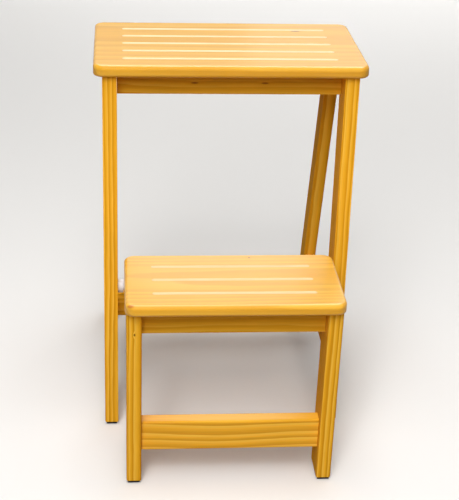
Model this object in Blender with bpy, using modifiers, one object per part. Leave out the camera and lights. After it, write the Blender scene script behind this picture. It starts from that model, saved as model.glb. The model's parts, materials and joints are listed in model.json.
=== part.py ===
"""Folding step stool in varnished pine.

A fixed stool carries a lower step on two pivot bolts through its front legs. The step
stands on its own feet in front of the stool. It swings up and over between the front
legs, and then lies upside down under the seat, on the rest rail.

X is to the right, Y is away from someone about to climb, Z is up. The origin is on the
floor, under the middle of the open stool. The places below are measured from the front
faces of the front legs, and one empty moves them all to that origin.
"""
import math

import bmesh
import bpy
from mathutils import Matrix, Vector

# Seat, the top tread
SEAT_HEIGHT = 0.603
SEAT_WIDTH = 0.400
SEAT_DEPTH = 0.238
SEAT_OVERHANG = 0.011
SEAT_SIDE_OVERHANG = 0.0127
SEAT_GROOVE_COUNT = 5
SEAT_GROOVE_PITCH = 0.0395
SEAT_GROOVE_MARGIN = 0.042

# Lower step, open in front of the stool
STEP_HEIGHT = 0.317
STEP_DEPTH = 0.171
STEP_OVERHANG = 0.0155
STEP_SIDE_OVERHANG = 0.0021
STEP_GAP = 0.032
STEP_SIDE_GAP = 0.0119
STEP_GROOVE_COUNT = 3
STEP_GROOVE_PITCH = 0.0438
STEP_GROOVE_MARGIN = 0.039

# Both treads
TREAD_THICKNESS = 0.018
TREAD_CORNER_RADIUS = 0.016
TREAD_EDGE_RADIUS = 0.006
GROOVE_WIDTH = 0.008
GROOVE_DEPTH = 0.0013

# Legs of the stool
LEG_THICKNESS = 0.021
FRONT_LEG_DEPTH = 0.0495
REAR_LEG_DEPTH = 0.0403
REAR_LEG_SETBACK = 0.1595
REAR_LEG_LEAN = math.radians(19.1)

# Legs of the step
STEP_LEG_THICKNESS = 0.022
STEP_LEG_DEPTH = 0.056
STEP_LEG_LEAN = math.radians(4.0)

# Aprons, stretchers and rails
APRON_THICKNESS = 0.016
APRON_HEIGHT = 0.037
FRONT_APRON_SETBACK = 0.033
REAR_APRON_INSET = 0.003
REST_RAIL_THICKNESS = 0.016
REST_RAIL_HEIGHT = 0.044
SIDE_STRETCHER_THICKNESS = 0.018
STEP_APRON_HEIGHT = 0.044
STEP_APRON_SETBACK = 0.023
STEP_REAR_APRON_HEIGHT = 0.036
STEP_REAR_APRON_INSET = 0.014
STEP_STRETCHER_THICKNESS = 0.021
STEP_STRETCHER_HEIGHT = 0.051
STEP_STRETCHER_RISE = 0.055
STEP_STRETCHER_SETBACK = 0.011
SIDE_RAIL_THICKNESS = 0.021
SIDE_RAIL_DROP = 0.071
SIDE_RAIL_TOP_INSET = 0.006
SIDE_RAIL_EYE_RADIUS = 0.024

# Pivot of the step
PIVOT_HEIGHT = 0.238
PIVOT_SETBACK = 0.025
BOLT_RADIUS = 0.004
BOLT_HEAD_RADIUS = 0.008
BOLT_HEAD_HEIGHT = 0.004
BOLT_HEAD_SINK = 0.001
BOLT_TIP_LENGTH = 0.0015
SPACER_RADIUS = 0.011
SPACER_FLANGE_LENGTH = 0.0085
SPACER_HUB_RADIUS = 0.0075
SPACER_CHAMFER = 0.0008
BUSH_RADIUS = 0.006
WASHER_RADIUS = 0.010
WASHER_THICKNESS = 0.0016
NUT_WIDTH = 0.013
NUT_HEIGHT = 0.008

# Foot pads
PAD_THICKNESS = 0.004
PAD_INSET = 0.0022
PAD_CHAMFER = 0.001

# Tenons on the boards' ends, in mortises in the legs
TENON_THICKNESS = 0.008
TENON_LENGTH = 0.015
REST_TENON_LENGTH = 0.011
TENON_SHOULDER = 0.004
TENON_GAP = 0.001

# Dowels and screws
DOWEL_RADIUS = 0.004
DOWEL_LENGTH = 0.032
DOWEL_CHAMFER = 0.001
DOWEL_BITE = 0.011
SIDE_RAIL_DOWEL_PITCH = 0.034
FRONT_HEAD_DOWEL_INSET = 0.015
REAR_HEAD_DOWEL_INSET = 0.036
STEP_HEAD_DOWEL_INSET = 0.0125
SCREW_LENGTH = 0.045
SCREW_RADIUS = 0.002
SCREW_TIP_LENGTH = 0.004
SCREW_HEAD_RADIUS = 0.004
SCREW_HEAD_HEIGHT = 0.0025
SCREW_BITE = 0.011
SEAT_SCREW_SPACING = 0.180
STEP_SCREW_SPACING = 0.140

# Clearances and softened edges
TOUCH = 0.0003
BORE_PLAY = 0.0003
COUNTERBORE_PLAY = 0.001
EDGE_RADIUS = 0.003
OVERRUN = 0.004
WELD = 0.00001

# How finely round shapes are cut
CORNER_SEGMENTS = 5
TREAD_EDGE_SEGMENTS = 3
EDGE_SEGMENTS = 2
EYE_SEGMENTS = 12
TURNED_SIDES = 24
SMALL_SIDES = 12
GROOVE_SIDES = 16
GROOVE_RINGS = 7
SMOOTH_ANGLE = math.radians(40)

# Finishes: colour, roughness and metallic
FINISHES = {
    "pine": ((0.86, 0.50, 0.12, 1), 0.32, 0),
    "beech": ((0.80, 0.62, 0.42, 1), 0.60, 0),
    "nylon": ((0.93, 0.93, 0.92, 1), 0.40, 0),
    "rubber": ((0.03, 0.03, 0.03, 1), 0.80, 0),
    "zinc": ((0.70, 0.70, 0.72, 1), 0.35, 1),
}

# Places worked out from the sizes
SIDES = (("left", -1), ("right", 1))
LEFT_TO_RIGHT = Vector((1, 0, 0))
LEG_SPREAD = SEAT_WIDTH - 2 * SEAT_SIDE_OVERHANG
STEP_SPREAD = LEG_SPREAD - 2 * LEG_THICKNESS - 2 * STEP_SIDE_GAP
STEP_WIDTH = STEP_SPREAD + 2 * STEP_SIDE_OVERHANG
SEAT_UNDERSIDE = SEAT_HEIGHT - TREAD_THICKNESS
STEP_UNDERSIDE = STEP_HEIGHT - TREAD_THICKNESS
SEAT_MIDDLE = SEAT_DEPTH / 2 - SEAT_OVERHANG
STEP_FRONT = -STEP_GAP - STEP_DEPTH
STEP_MIDDLE = STEP_FRONT + STEP_DEPTH / 2
STEP_LEG_TOP = STEP_FRONT + STEP_OVERHANG
LEG_FOOT = PAD_THICKNESS + TOUCH
LEG_HEAD = SEAT_UNDERSIDE - TOUCH
STEP_LEG_HEAD = STEP_UNDERSIDE - TOUCH
LEG_X = (LEG_SPREAD - LEG_THICKNESS) / 2
LEG_INNER_X = LEG_SPREAD / 2 - LEG_THICKNESS
STEP_LEG_X = (STEP_SPREAD - STEP_LEG_THICKNESS) / 2
STEP_INNER_X = STEP_SPREAD / 2 - STEP_LEG_THICKNESS
SIDE_RAIL_X = (STEP_SPREAD - SIDE_RAIL_THICKNESS) / 2
SIDE_RAIL_INNER_X = STEP_SPREAD / 2 - SIDE_RAIL_THICKNESS
REAR_LEG_RUN = REAR_LEG_DEPTH / math.cos(REAR_LEG_LEAN)
APRON_FOOT = SEAT_UNDERSIDE - APRON_HEIGHT
APRON_MIDDLE = SEAT_UNDERSIDE - APRON_HEIGHT / 2
FRONT_APRON_Y = FRONT_APRON_SETBACK + APRON_THICKNESS / 2
STEP_APRON_Y = STEP_LEG_TOP + STEP_APRON_SETBACK + APRON_THICKNESS / 2
STEP_REAR_APRON_Y = -STEP_GAP - STEP_REAR_APRON_INSET - APRON_THICKNESS / 2
STRETCHER_MIDDLE = STEP_STRETCHER_RISE + STEP_STRETCHER_HEIGHT / 2
SIDE_RAIL_FOOT = STEP_UNDERSIDE - SIDE_RAIL_DROP
SIDE_RAIL_MIDDLE = STEP_UNDERSIDE - SIDE_RAIL_DROP / 2

# Turned half round the pivot, the step's tread lies on the rest rail
REST_RAIL_HEAD = 2 * PIVOT_HEIGHT - STEP_HEIGHT - TOUCH
REST_RAIL_FOOT = REST_RAIL_HEAD - REST_RAIL_HEIGHT
REST_RAIL_MIDDLE = REST_RAIL_HEAD - REST_RAIL_HEIGHT / 2
REST_RAIL_Y = 2 * PIVOT_SETBACK - STEP_MIDDLE
STRETCHER_INNER_X = LEG_X - SIDE_STRETCHER_THICKNESS / 2


def rear_leg_front(height):
    """Place of the leaning rear leg's front face at a height."""
    return REAR_LEG_SETBACK + math.tan(REAR_LEG_LEAN) * (SEAT_UNDERSIDE - height)


def step_leg_front(height):
    """Place of the step leg's front face at a height."""
    return STEP_LEG_TOP + math.tan(STEP_LEG_LEAN) * (STEP_UNDERSIDE - height)


def step_leg_back(height):
    """Place of the step leg's back face at a height."""
    return step_leg_front(height) + STEP_LEG_DEPTH


REAR_HEAD_DOWEL_Y = REAR_LEG_SETBACK + REAR_HEAD_DOWEL_INSET
REAR_APRON_Y = rear_leg_front(APRON_FOOT) + REAR_APRON_INSET + APRON_THICKNESS / 2
STRETCHER_Y = step_leg_front(STRETCHER_MIDDLE) + STEP_STRETCHER_SETBACK + STEP_STRETCHER_THICKNESS / 2
OUTLINE_MIDDLE = (STEP_FRONT + rear_leg_front(LEG_FOOT) + REAR_LEG_RUN) / 2
PIVOT = Vector((0, PIVOT_SETBACK, PIVOT_HEIGHT))


def spread(count, pitch):
    """Places of count items, pitch apart, about zero."""
    return [(index - (count - 1) / 2) * pitch for index in range(count)]


def new_collection(name):
    """A collection under the scene's own."""
    collection = bpy.data.collections.new(name)
    bpy.context.scene.collection.children.link(collection)
    return collection


def new_empty(name, location):
    """An empty that carries the pieces of one moving group."""
    empty = bpy.data.objects.new(name, None)
    empty.location = location
    bpy.context.scene.collection.objects.link(empty)
    return empty


for old in list(bpy.data.objects):
    bpy.data.objects.remove(old)
PARTS = new_collection("folding_step_stool")
CUTTERS = new_collection("cutters")
STOOL_EMPTY = new_empty("stool_origin", (0, -OUTLINE_MIDDLE, 0))
STEP_EMPTY = new_empty("step_axis", (0, PIVOT_SETBACK - OUTLINE_MIDDLE, PIVOT_HEIGHT))


def new_finish(name, finish):
    """One part's own material."""
    colour, roughness, metallic = FINISHES[finish]
    material = bpy.data.materials.new(name + "_" + finish)
    material.use_nodes = True
    shader = material.node_tree.nodes["Principled BSDF"]
    shader.inputs["Base Color"].default_value = colour
    shader.inputs["Roughness"].default_value = roughness
    shader.inputs["Metallic"].default_value = metallic
    material.diffuse_color = colour
    return material


def place(name, mesh, spot, finish, swings=False, joins=(), cutters=()):
    """Put one part on the stool or on the swinging step, join its tenons and cut its bores."""
    part = bpy.data.objects.new(name, mesh)
    part.parent = STEP_EMPTY if swings else STOOL_EMPTY
    part.location = Vector(spot) - PIVOT if swings else spot
    mesh.materials.append(new_finish(name, finish))
    PARTS.objects.link(part)
    for operation, shapes in (("UNION", joins), ("DIFFERENCE", cutters)):
        for shape in shapes:
            change = part.modifiers.new(shape.name, "BOOLEAN")
            change.operation = operation
            change.solver = "EXACT"
            change.object = shape
    return part


def new_cutter(name, mesh, swings=False):
    """A hidden shape, drawn in the stool's own places, that parts are cut with."""
    cutter = bpy.data.objects.new(name, mesh)
    cutter.parent = STEP_EMPTY if swings else STOOL_EMPTY
    cutter.location = -PIVOT if swings else Vector()
    cutter.display_type = "WIRE"
    cutter.hide_render = True
    CUTTERS.objects.link(cutter)
    return cutter


def to_mesh(body, name, smooth=True):
    """Turn a bmesh into a mesh, smooth over its gentle edges."""
    mesh = bpy.data.meshes.new(name)
    body.to_mesh(mesh)
    body.free()
    if smooth:
        mesh.shade_smooth()
        mesh.set_sharp_from_angle(angle=SMOOTH_ANGLE)
    return mesh


def soften(body, radius, segments, wanted):
    """Round the edges that wanted picks by their two ends."""
    edges = [edge for edge in body.edges if wanted(edge.verts[0].co, edge.verts[1].co)]
    bmesh.ops.bevel(
        body, geom=edges, offset=radius, segments=segments, profile=0.5, affect="EDGES"
    )


def runs_along(direction):
    """A picker of the edges parallel to a direction."""
    straight = math.cos(STEP_LEG_LEAN / 2)
    return lambda start, end: abs((end - start).normalized().dot(direction)) > straight


def box_mesh(name, size):
    """A board with its edges along X rounded."""
    body = bmesh.new()
    bmesh.ops.create_cube(body, size=1, matrix=Matrix.Diagonal((*size, 1)))
    soften(body, EDGE_RADIUS, EDGE_SEGMENTS, runs_along(LEFT_TO_RIGHT))
    return to_mesh(body, name)


def plate_mesh(name, outline, thickness, wanted):
    """An outline in Y and Z, given from its first corner, as a plate centred on X."""
    curve = bpy.data.curves.new(name, "CURVE")
    curve.dimensions = "2D"
    curve.fill_mode = "BOTH"
    curve.extrude = thickness / 2
    spline = curve.splines.new("POLY")
    spline.points.add(len(outline) - 1)
    for point, (back, up) in zip(spline.points, outline):
        point.co = (back - outline[0][0], up - outline[0][1], 0, 1)
    spline.use_cyclic_u = True
    holder = bpy.data.objects.new(name, curve)
    bpy.context.scene.collection.objects.link(holder)
    bpy.context.view_layer.update()
    graph = bpy.context.evaluated_depsgraph_get()
    filled = bpy.data.meshes.new_from_object(holder.evaluated_get(graph))
    bpy.data.objects.remove(holder)
    bpy.data.curves.remove(curve)
    body = bmesh.new()
    body.from_mesh(filled)
    bpy.data.meshes.remove(filled)
    body.transform(Matrix(((0, 0, 1, 0), (1, 0, 0, 0), (0, 1, 0, 0), (0, 0, 0, 1))))
    bmesh.ops.remove_doubles(body, verts=body.verts, dist=WELD)
    bmesh.ops.dissolve_limit(
        body, angle_limit=math.radians(1), verts=body.verts, edges=body.edges
    )
    bmesh.ops.recalc_face_normals(body, faces=body.faces)
    soften(body, EDGE_RADIUS, EDGE_SEGMENTS, wanted)
    return to_mesh(body, name)


def tread_mesh(name, width, depth):
    """A tread with round corners in plan and round upper and lower edges."""
    body = bmesh.new()
    bmesh.ops.create_cube(body, size=1, matrix=Matrix.Diagonal((width, depth, TREAD_THICKNESS, 1)))
    soften(body, TREAD_CORNER_RADIUS, CORNER_SEGMENTS, lambda start, end: start.z * end.z < 0)
    soften(body, TREAD_EDGE_RADIUS, TREAD_EDGE_SEGMENTS, lambda start, end: start.z * end.z > 0)
    return to_mesh(body, name)


def groove_cutter(name, width, margin, places, height, swings=False):
    """Long round-ended cutters that leave shallow anti-slip grooves along a tread."""
    radius = (GROOVE_WIDTH ** 2 / 4 + GROOVE_DEPTH ** 2) / (2 * GROOVE_DEPTH)
    reach = width / 2 - margin - GROOVE_WIDTH / 2
    body = bmesh.new()
    for place_y in places:
        ball = bmesh.ops.create_uvsphere(
            body, u_segments=GROOVE_SIDES, v_segments=GROOVE_RINGS, radius=radius,
            matrix=Matrix.Rotation(math.pi / 2, 4, "Y"),
        )
        for vertex in ball["verts"]:
            vertex.co.x += math.copysign(reach, vertex.co.x)
            vertex.co.y += place_y
            vertex.co.z += height + radius - GROOVE_DEPTH
    return new_cutter(name, to_mesh(body, name, smooth=False), swings)


def turned_mesh(name, profile, sides=TURNED_SIDES, closed=False):
    """A profile of radius and length, turned about Z by a Screw modifier."""
    mesh = bpy.data.meshes.new(name)
    points = [(radius, 0, along) for radius, along in profile]
    links = [(index, index + 1) for index in range(len(points) - 1)]
    if closed:
        links.append((len(points) - 1, 0))
    mesh.from_pydata(points, links, [])
    holder = bpy.data.objects.new(name, mesh)
    bpy.context.scene.collection.objects.link(holder)
    turn = holder.modifiers.new("turn", "SCREW")
    turn.axis = "Z"
    turn.steps = sides
    turn.render_steps = sides
    turn.use_merge_vertices = True
    turn.merge_threshold = WELD
    bpy.context.view_layer.update()
    graph = bpy.context.evaluated_depsgraph_get()
    turned = bpy.data.meshes.new_from_object(holder.evaluated_get(graph))
    bpy.data.objects.remove(holder)
    bpy.data.meshes.remove(mesh)
    turned.name = name
    turned.shade_smooth()
    turned.set_sharp_from_angle(angle=SMOOTH_ANGLE)
    return turned


def across(side):
    """Turn a piece that was made along Z so that its upper end points out to one side."""
    return Matrix.Rotation(side * math.pi / 2, 4, "Y")


def ring_profile(inner, outer, length):
    """Closed profile of a plain ring or tube, its outer side run from top to bottom."""
    return [(inner, length), (outer, length), (outer, 0), (inner, 0)]


def tenons(name, centre, size, swings=False, lean=0):
    """A long block that runs through a board and out as its tenons, and the mortises' cutter."""
    placing = Matrix.Translation(centre) @ Matrix.Rotation(lean, 4, "X")
    shapes = []
    for label, play in (("_tenons", 0), ("_mortises", BORE_PLAY)):
        body = bmesh.new()
        block = Matrix.Diagonal((*[length + 2 * play for length in size], 1))
        bmesh.ops.create_cube(body, size=1, matrix=placing @ block)
        shapes.append(new_cutter(name + label, to_mesh(body, name + label, smooth=False), swings))
    return shapes


def rod_cutter(name, placing, radius, length, swings=False, sides=SMALL_SIDES):
    """A cylinder that gives a rod its play all round and at both ends."""
    body = bmesh.new()
    wide = radius + BORE_PLAY
    bmesh.ops.create_cone(
        body, cap_ends=True, segments=sides, radius1=wide, radius2=wide,
        depth=length + 2 * BORE_PLAY, matrix=placing,
    )
    return new_cutter(name, to_mesh(body, name, smooth=False), swings)


def dowel(name, spot, direction, bite=DOWEL_LENGTH / 2, swings=False):
    """A dowel across the joint at spot, reaching by bite past it, and its bore's cutter."""
    half = DOWEL_LENGTH / 2
    waist = half - DOWEL_CHAMFER
    nose = DOWEL_RADIUS - DOWEL_CHAMFER
    profile = [
        (0, half), (nose, half), (DOWEL_RADIUS, waist),
        (DOWEL_RADIUS, -waist), (nose, -half), (0, -half),
    ]
    mesh = turned_mesh(name, profile, SMALL_SIDES)
    direction = Vector(direction)
    turn = direction.to_track_quat("Z", "Y").to_matrix().to_4x4()
    mesh.transform(turn)
    centre = Vector(spot) + direction * (bite - half)
    place(name, mesh, centre, "beech", swings)
    placing = Matrix.Translation(centre) @ turn
    return rod_cutter(name + "_bore", placing, DOWEL_RADIUS, DOWEL_LENGTH, swings)


def screw(name, x, y, underside, apron_height, swings=False):
    """A wood screw up through an apron into a tread, and its bore's cutter.

    The bore has a wide lower end that runs out through the apron's lower edge, so that
    the screw's head sits up inside the apron.
    """
    neck = SCREW_HEAD_HEIGHT
    profile = [
        (0, SCREW_LENGTH), (SCREW_RADIUS, SCREW_LENGTH - SCREW_TIP_LENGTH), (SCREW_RADIUS, neck),
        (SCREW_HEAD_RADIUS, 0), (0, 0),
    ]
    head_z = underside + SCREW_BITE - SCREW_LENGTH
    place(name, turned_mesh(name, profile, SMALL_SIDES), (x, y, head_z), "zinc", swings)
    wide = SCREW_HEAD_RADIUS + COUNTERBORE_PLAY
    slim = SCREW_RADIUS + BORE_PLAY
    drop = underside - apron_height - head_z - OVERRUN
    bore_profile = [
        (0, SCREW_LENGTH + BORE_PLAY), (slim, SCREW_LENGTH + BORE_PLAY), (slim, neck + BORE_PLAY),
        (wide, neck + BORE_PLAY), (wide, drop), (0, drop),
    ]
    bore = turned_mesh(name + "_bore", bore_profile, SMALL_SIDES)
    bore.transform(Matrix.Translation((x, y, head_z)))
    return new_cutter(name + "_bore", bore, swings)


def pivot_hardware():
    """Bolt, spacer, washer and lock nut on each side, and the bores for the bolts."""
    head_x = LEG_SPREAD / 2 - BOLT_HEAD_SINK
    seat_x = head_x - BOLT_HEAD_HEIGHT
    washer_x = SIDE_RAIL_INNER_X - TOUCH
    nut_x = washer_x - WASHER_THICKNESS - TOUCH
    tip_x = nut_x - NUT_HEIGHT - BOLT_TIP_LENGTH
    spacer_x = LEG_INNER_X - TOUCH
    hub_x = STEP_SPREAD / 2 + TOUCH
    hole = BOLT_RADIUS + BORE_PLAY
    shank = seat_x - tip_x
    crown = BOLT_HEAD_HEIGHT / 2
    bolt_profile = [
        (0, shank + BOLT_HEAD_HEIGHT), (BOLT_HEAD_RADIUS - crown, shank + BOLT_HEAD_HEIGHT),
        (BOLT_HEAD_RADIUS, shank + crown), (BOLT_HEAD_RADIUS, shank), (BOLT_RADIUS, shank),
        (BOLT_RADIUS, BOLT_TIP_LENGTH / 2), (BOLT_RADIUS - BOLT_TIP_LENGTH / 2, 0), (0, 0),
    ]
    length = spacer_x - hub_x
    ledge = length - SPACER_FLANGE_LENGTH
    spacer_profile = [
        (hole, length), (SPACER_RADIUS - SPACER_CHAMFER, length),
        (SPACER_RADIUS, length - SPACER_CHAMFER), (SPACER_RADIUS, ledge + SPACER_CHAMFER),
        (SPACER_RADIUS - SPACER_CHAMFER, ledge), (SPACER_HUB_RADIUS, ledge),
        (SPACER_HUB_RADIUS, 0), (hole, 0),
    ]
    washer_profile = ring_profile(hole, WASHER_RADIUS, WASHER_THICKNESS)
    bush_profile = ring_profile(hole, BUSH_RADIUS, SIDE_RAIL_THICKNESS)
    counterbore = BOLT_HEAD_RADIUS + COUNTERBORE_PLAY
    outside = BOLT_HEAD_HEIGHT + BOLT_HEAD_SINK + OVERRUN
    bore_profile = [
        (0, shank + outside), (counterbore, shank + outside), (counterbore, shank - TOUCH),
        (hole, shank - TOUCH), (hole, -OVERRUN), (0, -OVERRUN),
    ]
    bores = {}
    for label, side in SIDES:
        turn = across(side)
        pieces = (
            ("pivot_bolt_", bolt_profile, tip_x, "zinc", False, False),
            ("pivot_spacer_", spacer_profile, hub_x, "nylon", True, False),
            ("pivot_washer_", washer_profile, washer_x - WASHER_THICKNESS, "zinc", True, False),
            ("pivot_bush_", bush_profile, SIDE_RAIL_INNER_X, "nylon", True, True),
        )
        for kind, profile, start_x, finish, hollow, swings in pieces:
            name = kind + label
            mesh = turned_mesh(name, profile, closed=hollow)
            mesh.transform(turn)
            place(name, mesh, (side * start_x, PIVOT_SETBACK, PIVOT_HEIGHT), finish, swings)
        bore = turned_mesh("pivot_bore_" + label, bore_profile)
        bore.transform(Matrix.Translation((side * tip_x, PIVOT_SETBACK, PIVOT_HEIGHT)) @ turn)
        bores[label] = new_cutter("pivot_bore_" + label, bore)
        body = bmesh.new()
        across_corners = NUT_WIDTH / math.cos(math.pi / 6)
        bmesh.ops.create_cone(
            body, cap_ends=True, segments=6, radius1=across_corners / 2,
            radius2=across_corners / 2, depth=NUT_HEIGHT, matrix=turn,
        )
        name = "pivot_nut_" + label
        spot = (side * (nut_x - NUT_HEIGHT / 2), PIVOT_SETBACK, PIVOT_HEIGHT)
        place(name, to_mesh(body, name, smooth=False), spot, "zinc", cutters=(bores[label],))
    return bores


def foot_pad(name, x, y_front, y_back, thickness_x, swings=False):
    """A rubber pad under a leg, a little inside its edges."""
    size = (thickness_x - 2 * PAD_INSET, y_back - y_front - 2 * PAD_INSET, PAD_THICKNESS)
    body = bmesh.new()
    bmesh.ops.create_cube(body, size=1, matrix=Matrix.Diagonal((*size, 1)))
    soften(body, PAD_CHAMFER, 1, lambda start, end: start.z * end.z < 0)
    spot = (x, (y_front + y_back) / 2, PAD_THICKNESS / 2)
    place(name, to_mesh(body, name), spot, "rubber", swings)


def leaning_leg(name, x, front, run, foot, head, thickness, swings=False, cutters=()):
    """A leg between two heights whose front face is given by a function of the height."""
    outline = [
        (front(foot), foot), (front(foot) + run, foot),
        (front(head) + run, head), (front(head), head),
    ]
    direction = Vector((0, front(head) - front(foot), head - foot)).normalized()
    mesh = plate_mesh(name, outline, thickness, runs_along(direction))
    place(name, mesh, (x, front(foot), foot), "pine", swings, cutters=cutters)


def tangent_angle(corner, turn):
    """Angle on the eye at which a line from a corner touches it."""
    away = Vector(corner) - Vector((PIVOT_SETBACK, PIVOT_HEIGHT))
    return math.atan2(away.y, away.x) + turn * math.acos(SIDE_RAIL_EYE_RADIUS / away.length)


def side_rail_outline():
    """Outline of a side rail: butted to the leg, under the tread, with an eye at the pivot."""
    head = STEP_UNDERSIDE - TOUCH
    lower = (step_leg_back(SIDE_RAIL_FOOT) + TOUCH, SIDE_RAIL_FOOT)
    upper_front = (step_leg_back(head) + TOUCH, head)
    upper_back = (-STEP_GAP - SIDE_RAIL_TOP_INSET, head)
    start = tangent_angle(lower, 1) % (2 * math.pi) - 2 * math.pi
    end = tangent_angle(upper_back, -1)
    outline = [lower]
    for index in range(EYE_SEGMENTS + 1):
        angle = start + (end - start) * index / EYE_SEGMENTS
        back = PIVOT_SETBACK + SIDE_RAIL_EYE_RADIUS * math.cos(angle)
        up = PIVOT_HEIGHT + SIDE_RAIL_EYE_RADIUS * math.sin(angle)
        outline.append((back, up))
    outline += [upper_back, upper_front]
    return outline


def side_rail_edge(outline):
    """A picker of the rail's free edges, which leaves its butted and upper edges square."""
    back = outline[-1][0] - outline[0][0]
    head = outline[-1][1] - outline[0][1]
    reach = TOUCH * math.hypot(back, head)

    def is_free(start, end):
        if abs(start.x - end.x) > WELD:
            return False
        on_head = min(start.z, end.z) > head - TOUCH
        on_leg = all(abs(point.y * head - point.z * back) < reach for point in (start, end))
        return not on_head and not on_leg

    return is_free


def across_board(name, inner_x, size_y, height, spot, tenon, swings=False, bores=(), lean=0):
    """A board between two sides with a tenon at each end, and its mortises' cutter.

    The tenon is given by its length, its height and the height of its middle.
    """
    tenon_length, tenon_height, tenon_z = tenon
    centre = (0, spot[1], tenon_z)
    block = (2 * (inner_x + tenon_length), TENON_THICKNESS, tenon_height)
    core, mortises = tenons(name, centre, block, swings, lean)
    mesh = box_mesh(name, (2 * (inner_x - TOUCH), size_y, height))
    board = place(name, mesh, spot, "pine", swings, (core,), bores)
    board.rotation_euler.x = lean
    return mortises


def side_board(name, x, thickness, foot, head, tenon, bores=()):
    """A board from the front leg to the leaning rear leg, and its mortises' cutter."""
    near = FRONT_LEG_DEPTH + TOUCH
    outline = [
        (near, foot), (rear_leg_front(foot) - TOUCH, foot),
        (rear_leg_front(head) - TOUCH, head), (near, head),
    ]
    tenon_height, tenon_z = tenon
    start = FRONT_LEG_DEPTH - TENON_LENGTH
    end = rear_leg_front(tenon_z) + TENON_LENGTH
    block = (TENON_THICKNESS, end - start, tenon_height)
    core, mortises = tenons(name, (x, (start + end) / 2, tenon_z), block)
    mesh = plate_mesh(name, outline, thickness, runs_along(Vector((0, 1, 0))))
    place(name, mesh, (x, near, foot), "pine", False, (core,), bores)
    return mortises


def make_stool():
    """The fixed stool."""
    screws = {}
    for label, apron_y in (("front", FRONT_APRON_Y), ("rear", REAR_APRON_Y)):
        screws[label] = [
            screw("seat_screw_" + label + "_" + hand, side * SEAT_SCREW_SPACING / 2, apron_y,
                  SEAT_UNDERSIDE, APRON_HEIGHT)
            for hand, side in SIDES
        ]
    bores = pivot_hardware()

    # Front and rear apron tenons take the upper half of a leg, side apron tenons the lower
    half = APRON_HEIGHT / 2 - TENON_SHOULDER
    shift = (half + TENON_GAP) / 2
    upper = (TENON_LENGTH, half - TENON_GAP, APRON_MIDDLE + shift)
    lower = (half - TENON_GAP, APRON_MIDDLE - shift)
    apron_height = APRON_HEIGHT - TOUCH
    mortises = {}
    for label, apron_y in (("front", FRONT_APRON_Y), ("rear", REAR_APRON_Y)):
        mortises[label] = across_board(
            label + "_apron", LEG_INNER_X, APRON_THICKNESS, apron_height,
            (0, apron_y, APRON_MIDDLE - TOUCH / 2), upper, bores=screws[label],
        )
    rest_mortises = across_board(
        "step_rest_rail", STRETCHER_INNER_X, REST_RAIL_THICKNESS, REST_RAIL_HEIGHT,
        (0, REST_RAIL_Y, REST_RAIL_MIDDLE),
        (REST_TENON_LENGTH, REST_RAIL_HEIGHT - 2 * TENON_SHOULDER, REST_RAIL_MIDDLE),
    )

    head_bores = []
    for hand, side in SIDES:
        x = side * LEG_X
        stretcher = side_board(
            "side_stretcher_" + hand, x, SIDE_STRETCHER_THICKNESS, REST_RAIL_FOOT, REST_RAIL_HEAD,
            (REST_RAIL_HEIGHT - 2 * TENON_SHOULDER, REST_RAIL_MIDDLE), (rest_mortises,),
        )
        apron = side_board(
            "side_apron_" + hand, x, APRON_THICKNESS, APRON_FOOT, LEG_HEAD, lower
        )
        dowels = {}
        for label, inset in (("front", FRONT_HEAD_DOWEL_INSET), ("rear", REAR_HEAD_DOWEL_Y)):
            dowels[label] = dowel(
                "leg_head_dowel_" + label + "_" + hand, (x, inset, SEAT_UNDERSIDE), (0, 0, 1), DOWEL_BITE
            )
        head_bores += dowels.values()
        leaning_leg(
            "front_leg_" + hand, x, lambda height: 0, FRONT_LEG_DEPTH, LEG_FOOT, LEG_HEAD,
            LEG_THICKNESS,
            cutters=(mortises["front"], stretcher, apron, dowels["front"], bores[hand]),
        )
        leaning_leg(
            "rear_leg_" + hand, x, rear_leg_front, REAR_LEG_RUN, LEG_FOOT, LEG_HEAD,
            LEG_THICKNESS, cutters=(mortises["rear"], stretcher, apron, dowels["rear"]),
        )
        foot_pad("front_foot_pad_" + hand, x, 0, FRONT_LEG_DEPTH, LEG_THICKNESS)
        rear_foot = rear_leg_front(LEG_FOOT)
        foot_pad("rear_foot_pad_" + hand, x, rear_foot, rear_foot + REAR_LEG_RUN, LEG_THICKNESS)

    groove_places = [SEAT_MIDDLE + shift for shift in spread(SEAT_GROOVE_COUNT, SEAT_GROOVE_PITCH)]
    grooves = groove_cutter("seat_grooves", SEAT_WIDTH, SEAT_GROOVE_MARGIN, groove_places, SEAT_HEIGHT)
    place(
        "top_tread", tread_mesh("top_tread", SEAT_WIDTH, SEAT_DEPTH),
        (0, SEAT_MIDDLE, SEAT_HEIGHT - TREAD_THICKNESS / 2), "pine",
        cutters=(grooves, *head_bores, *screws["front"], *screws["rear"]),
    )


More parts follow.
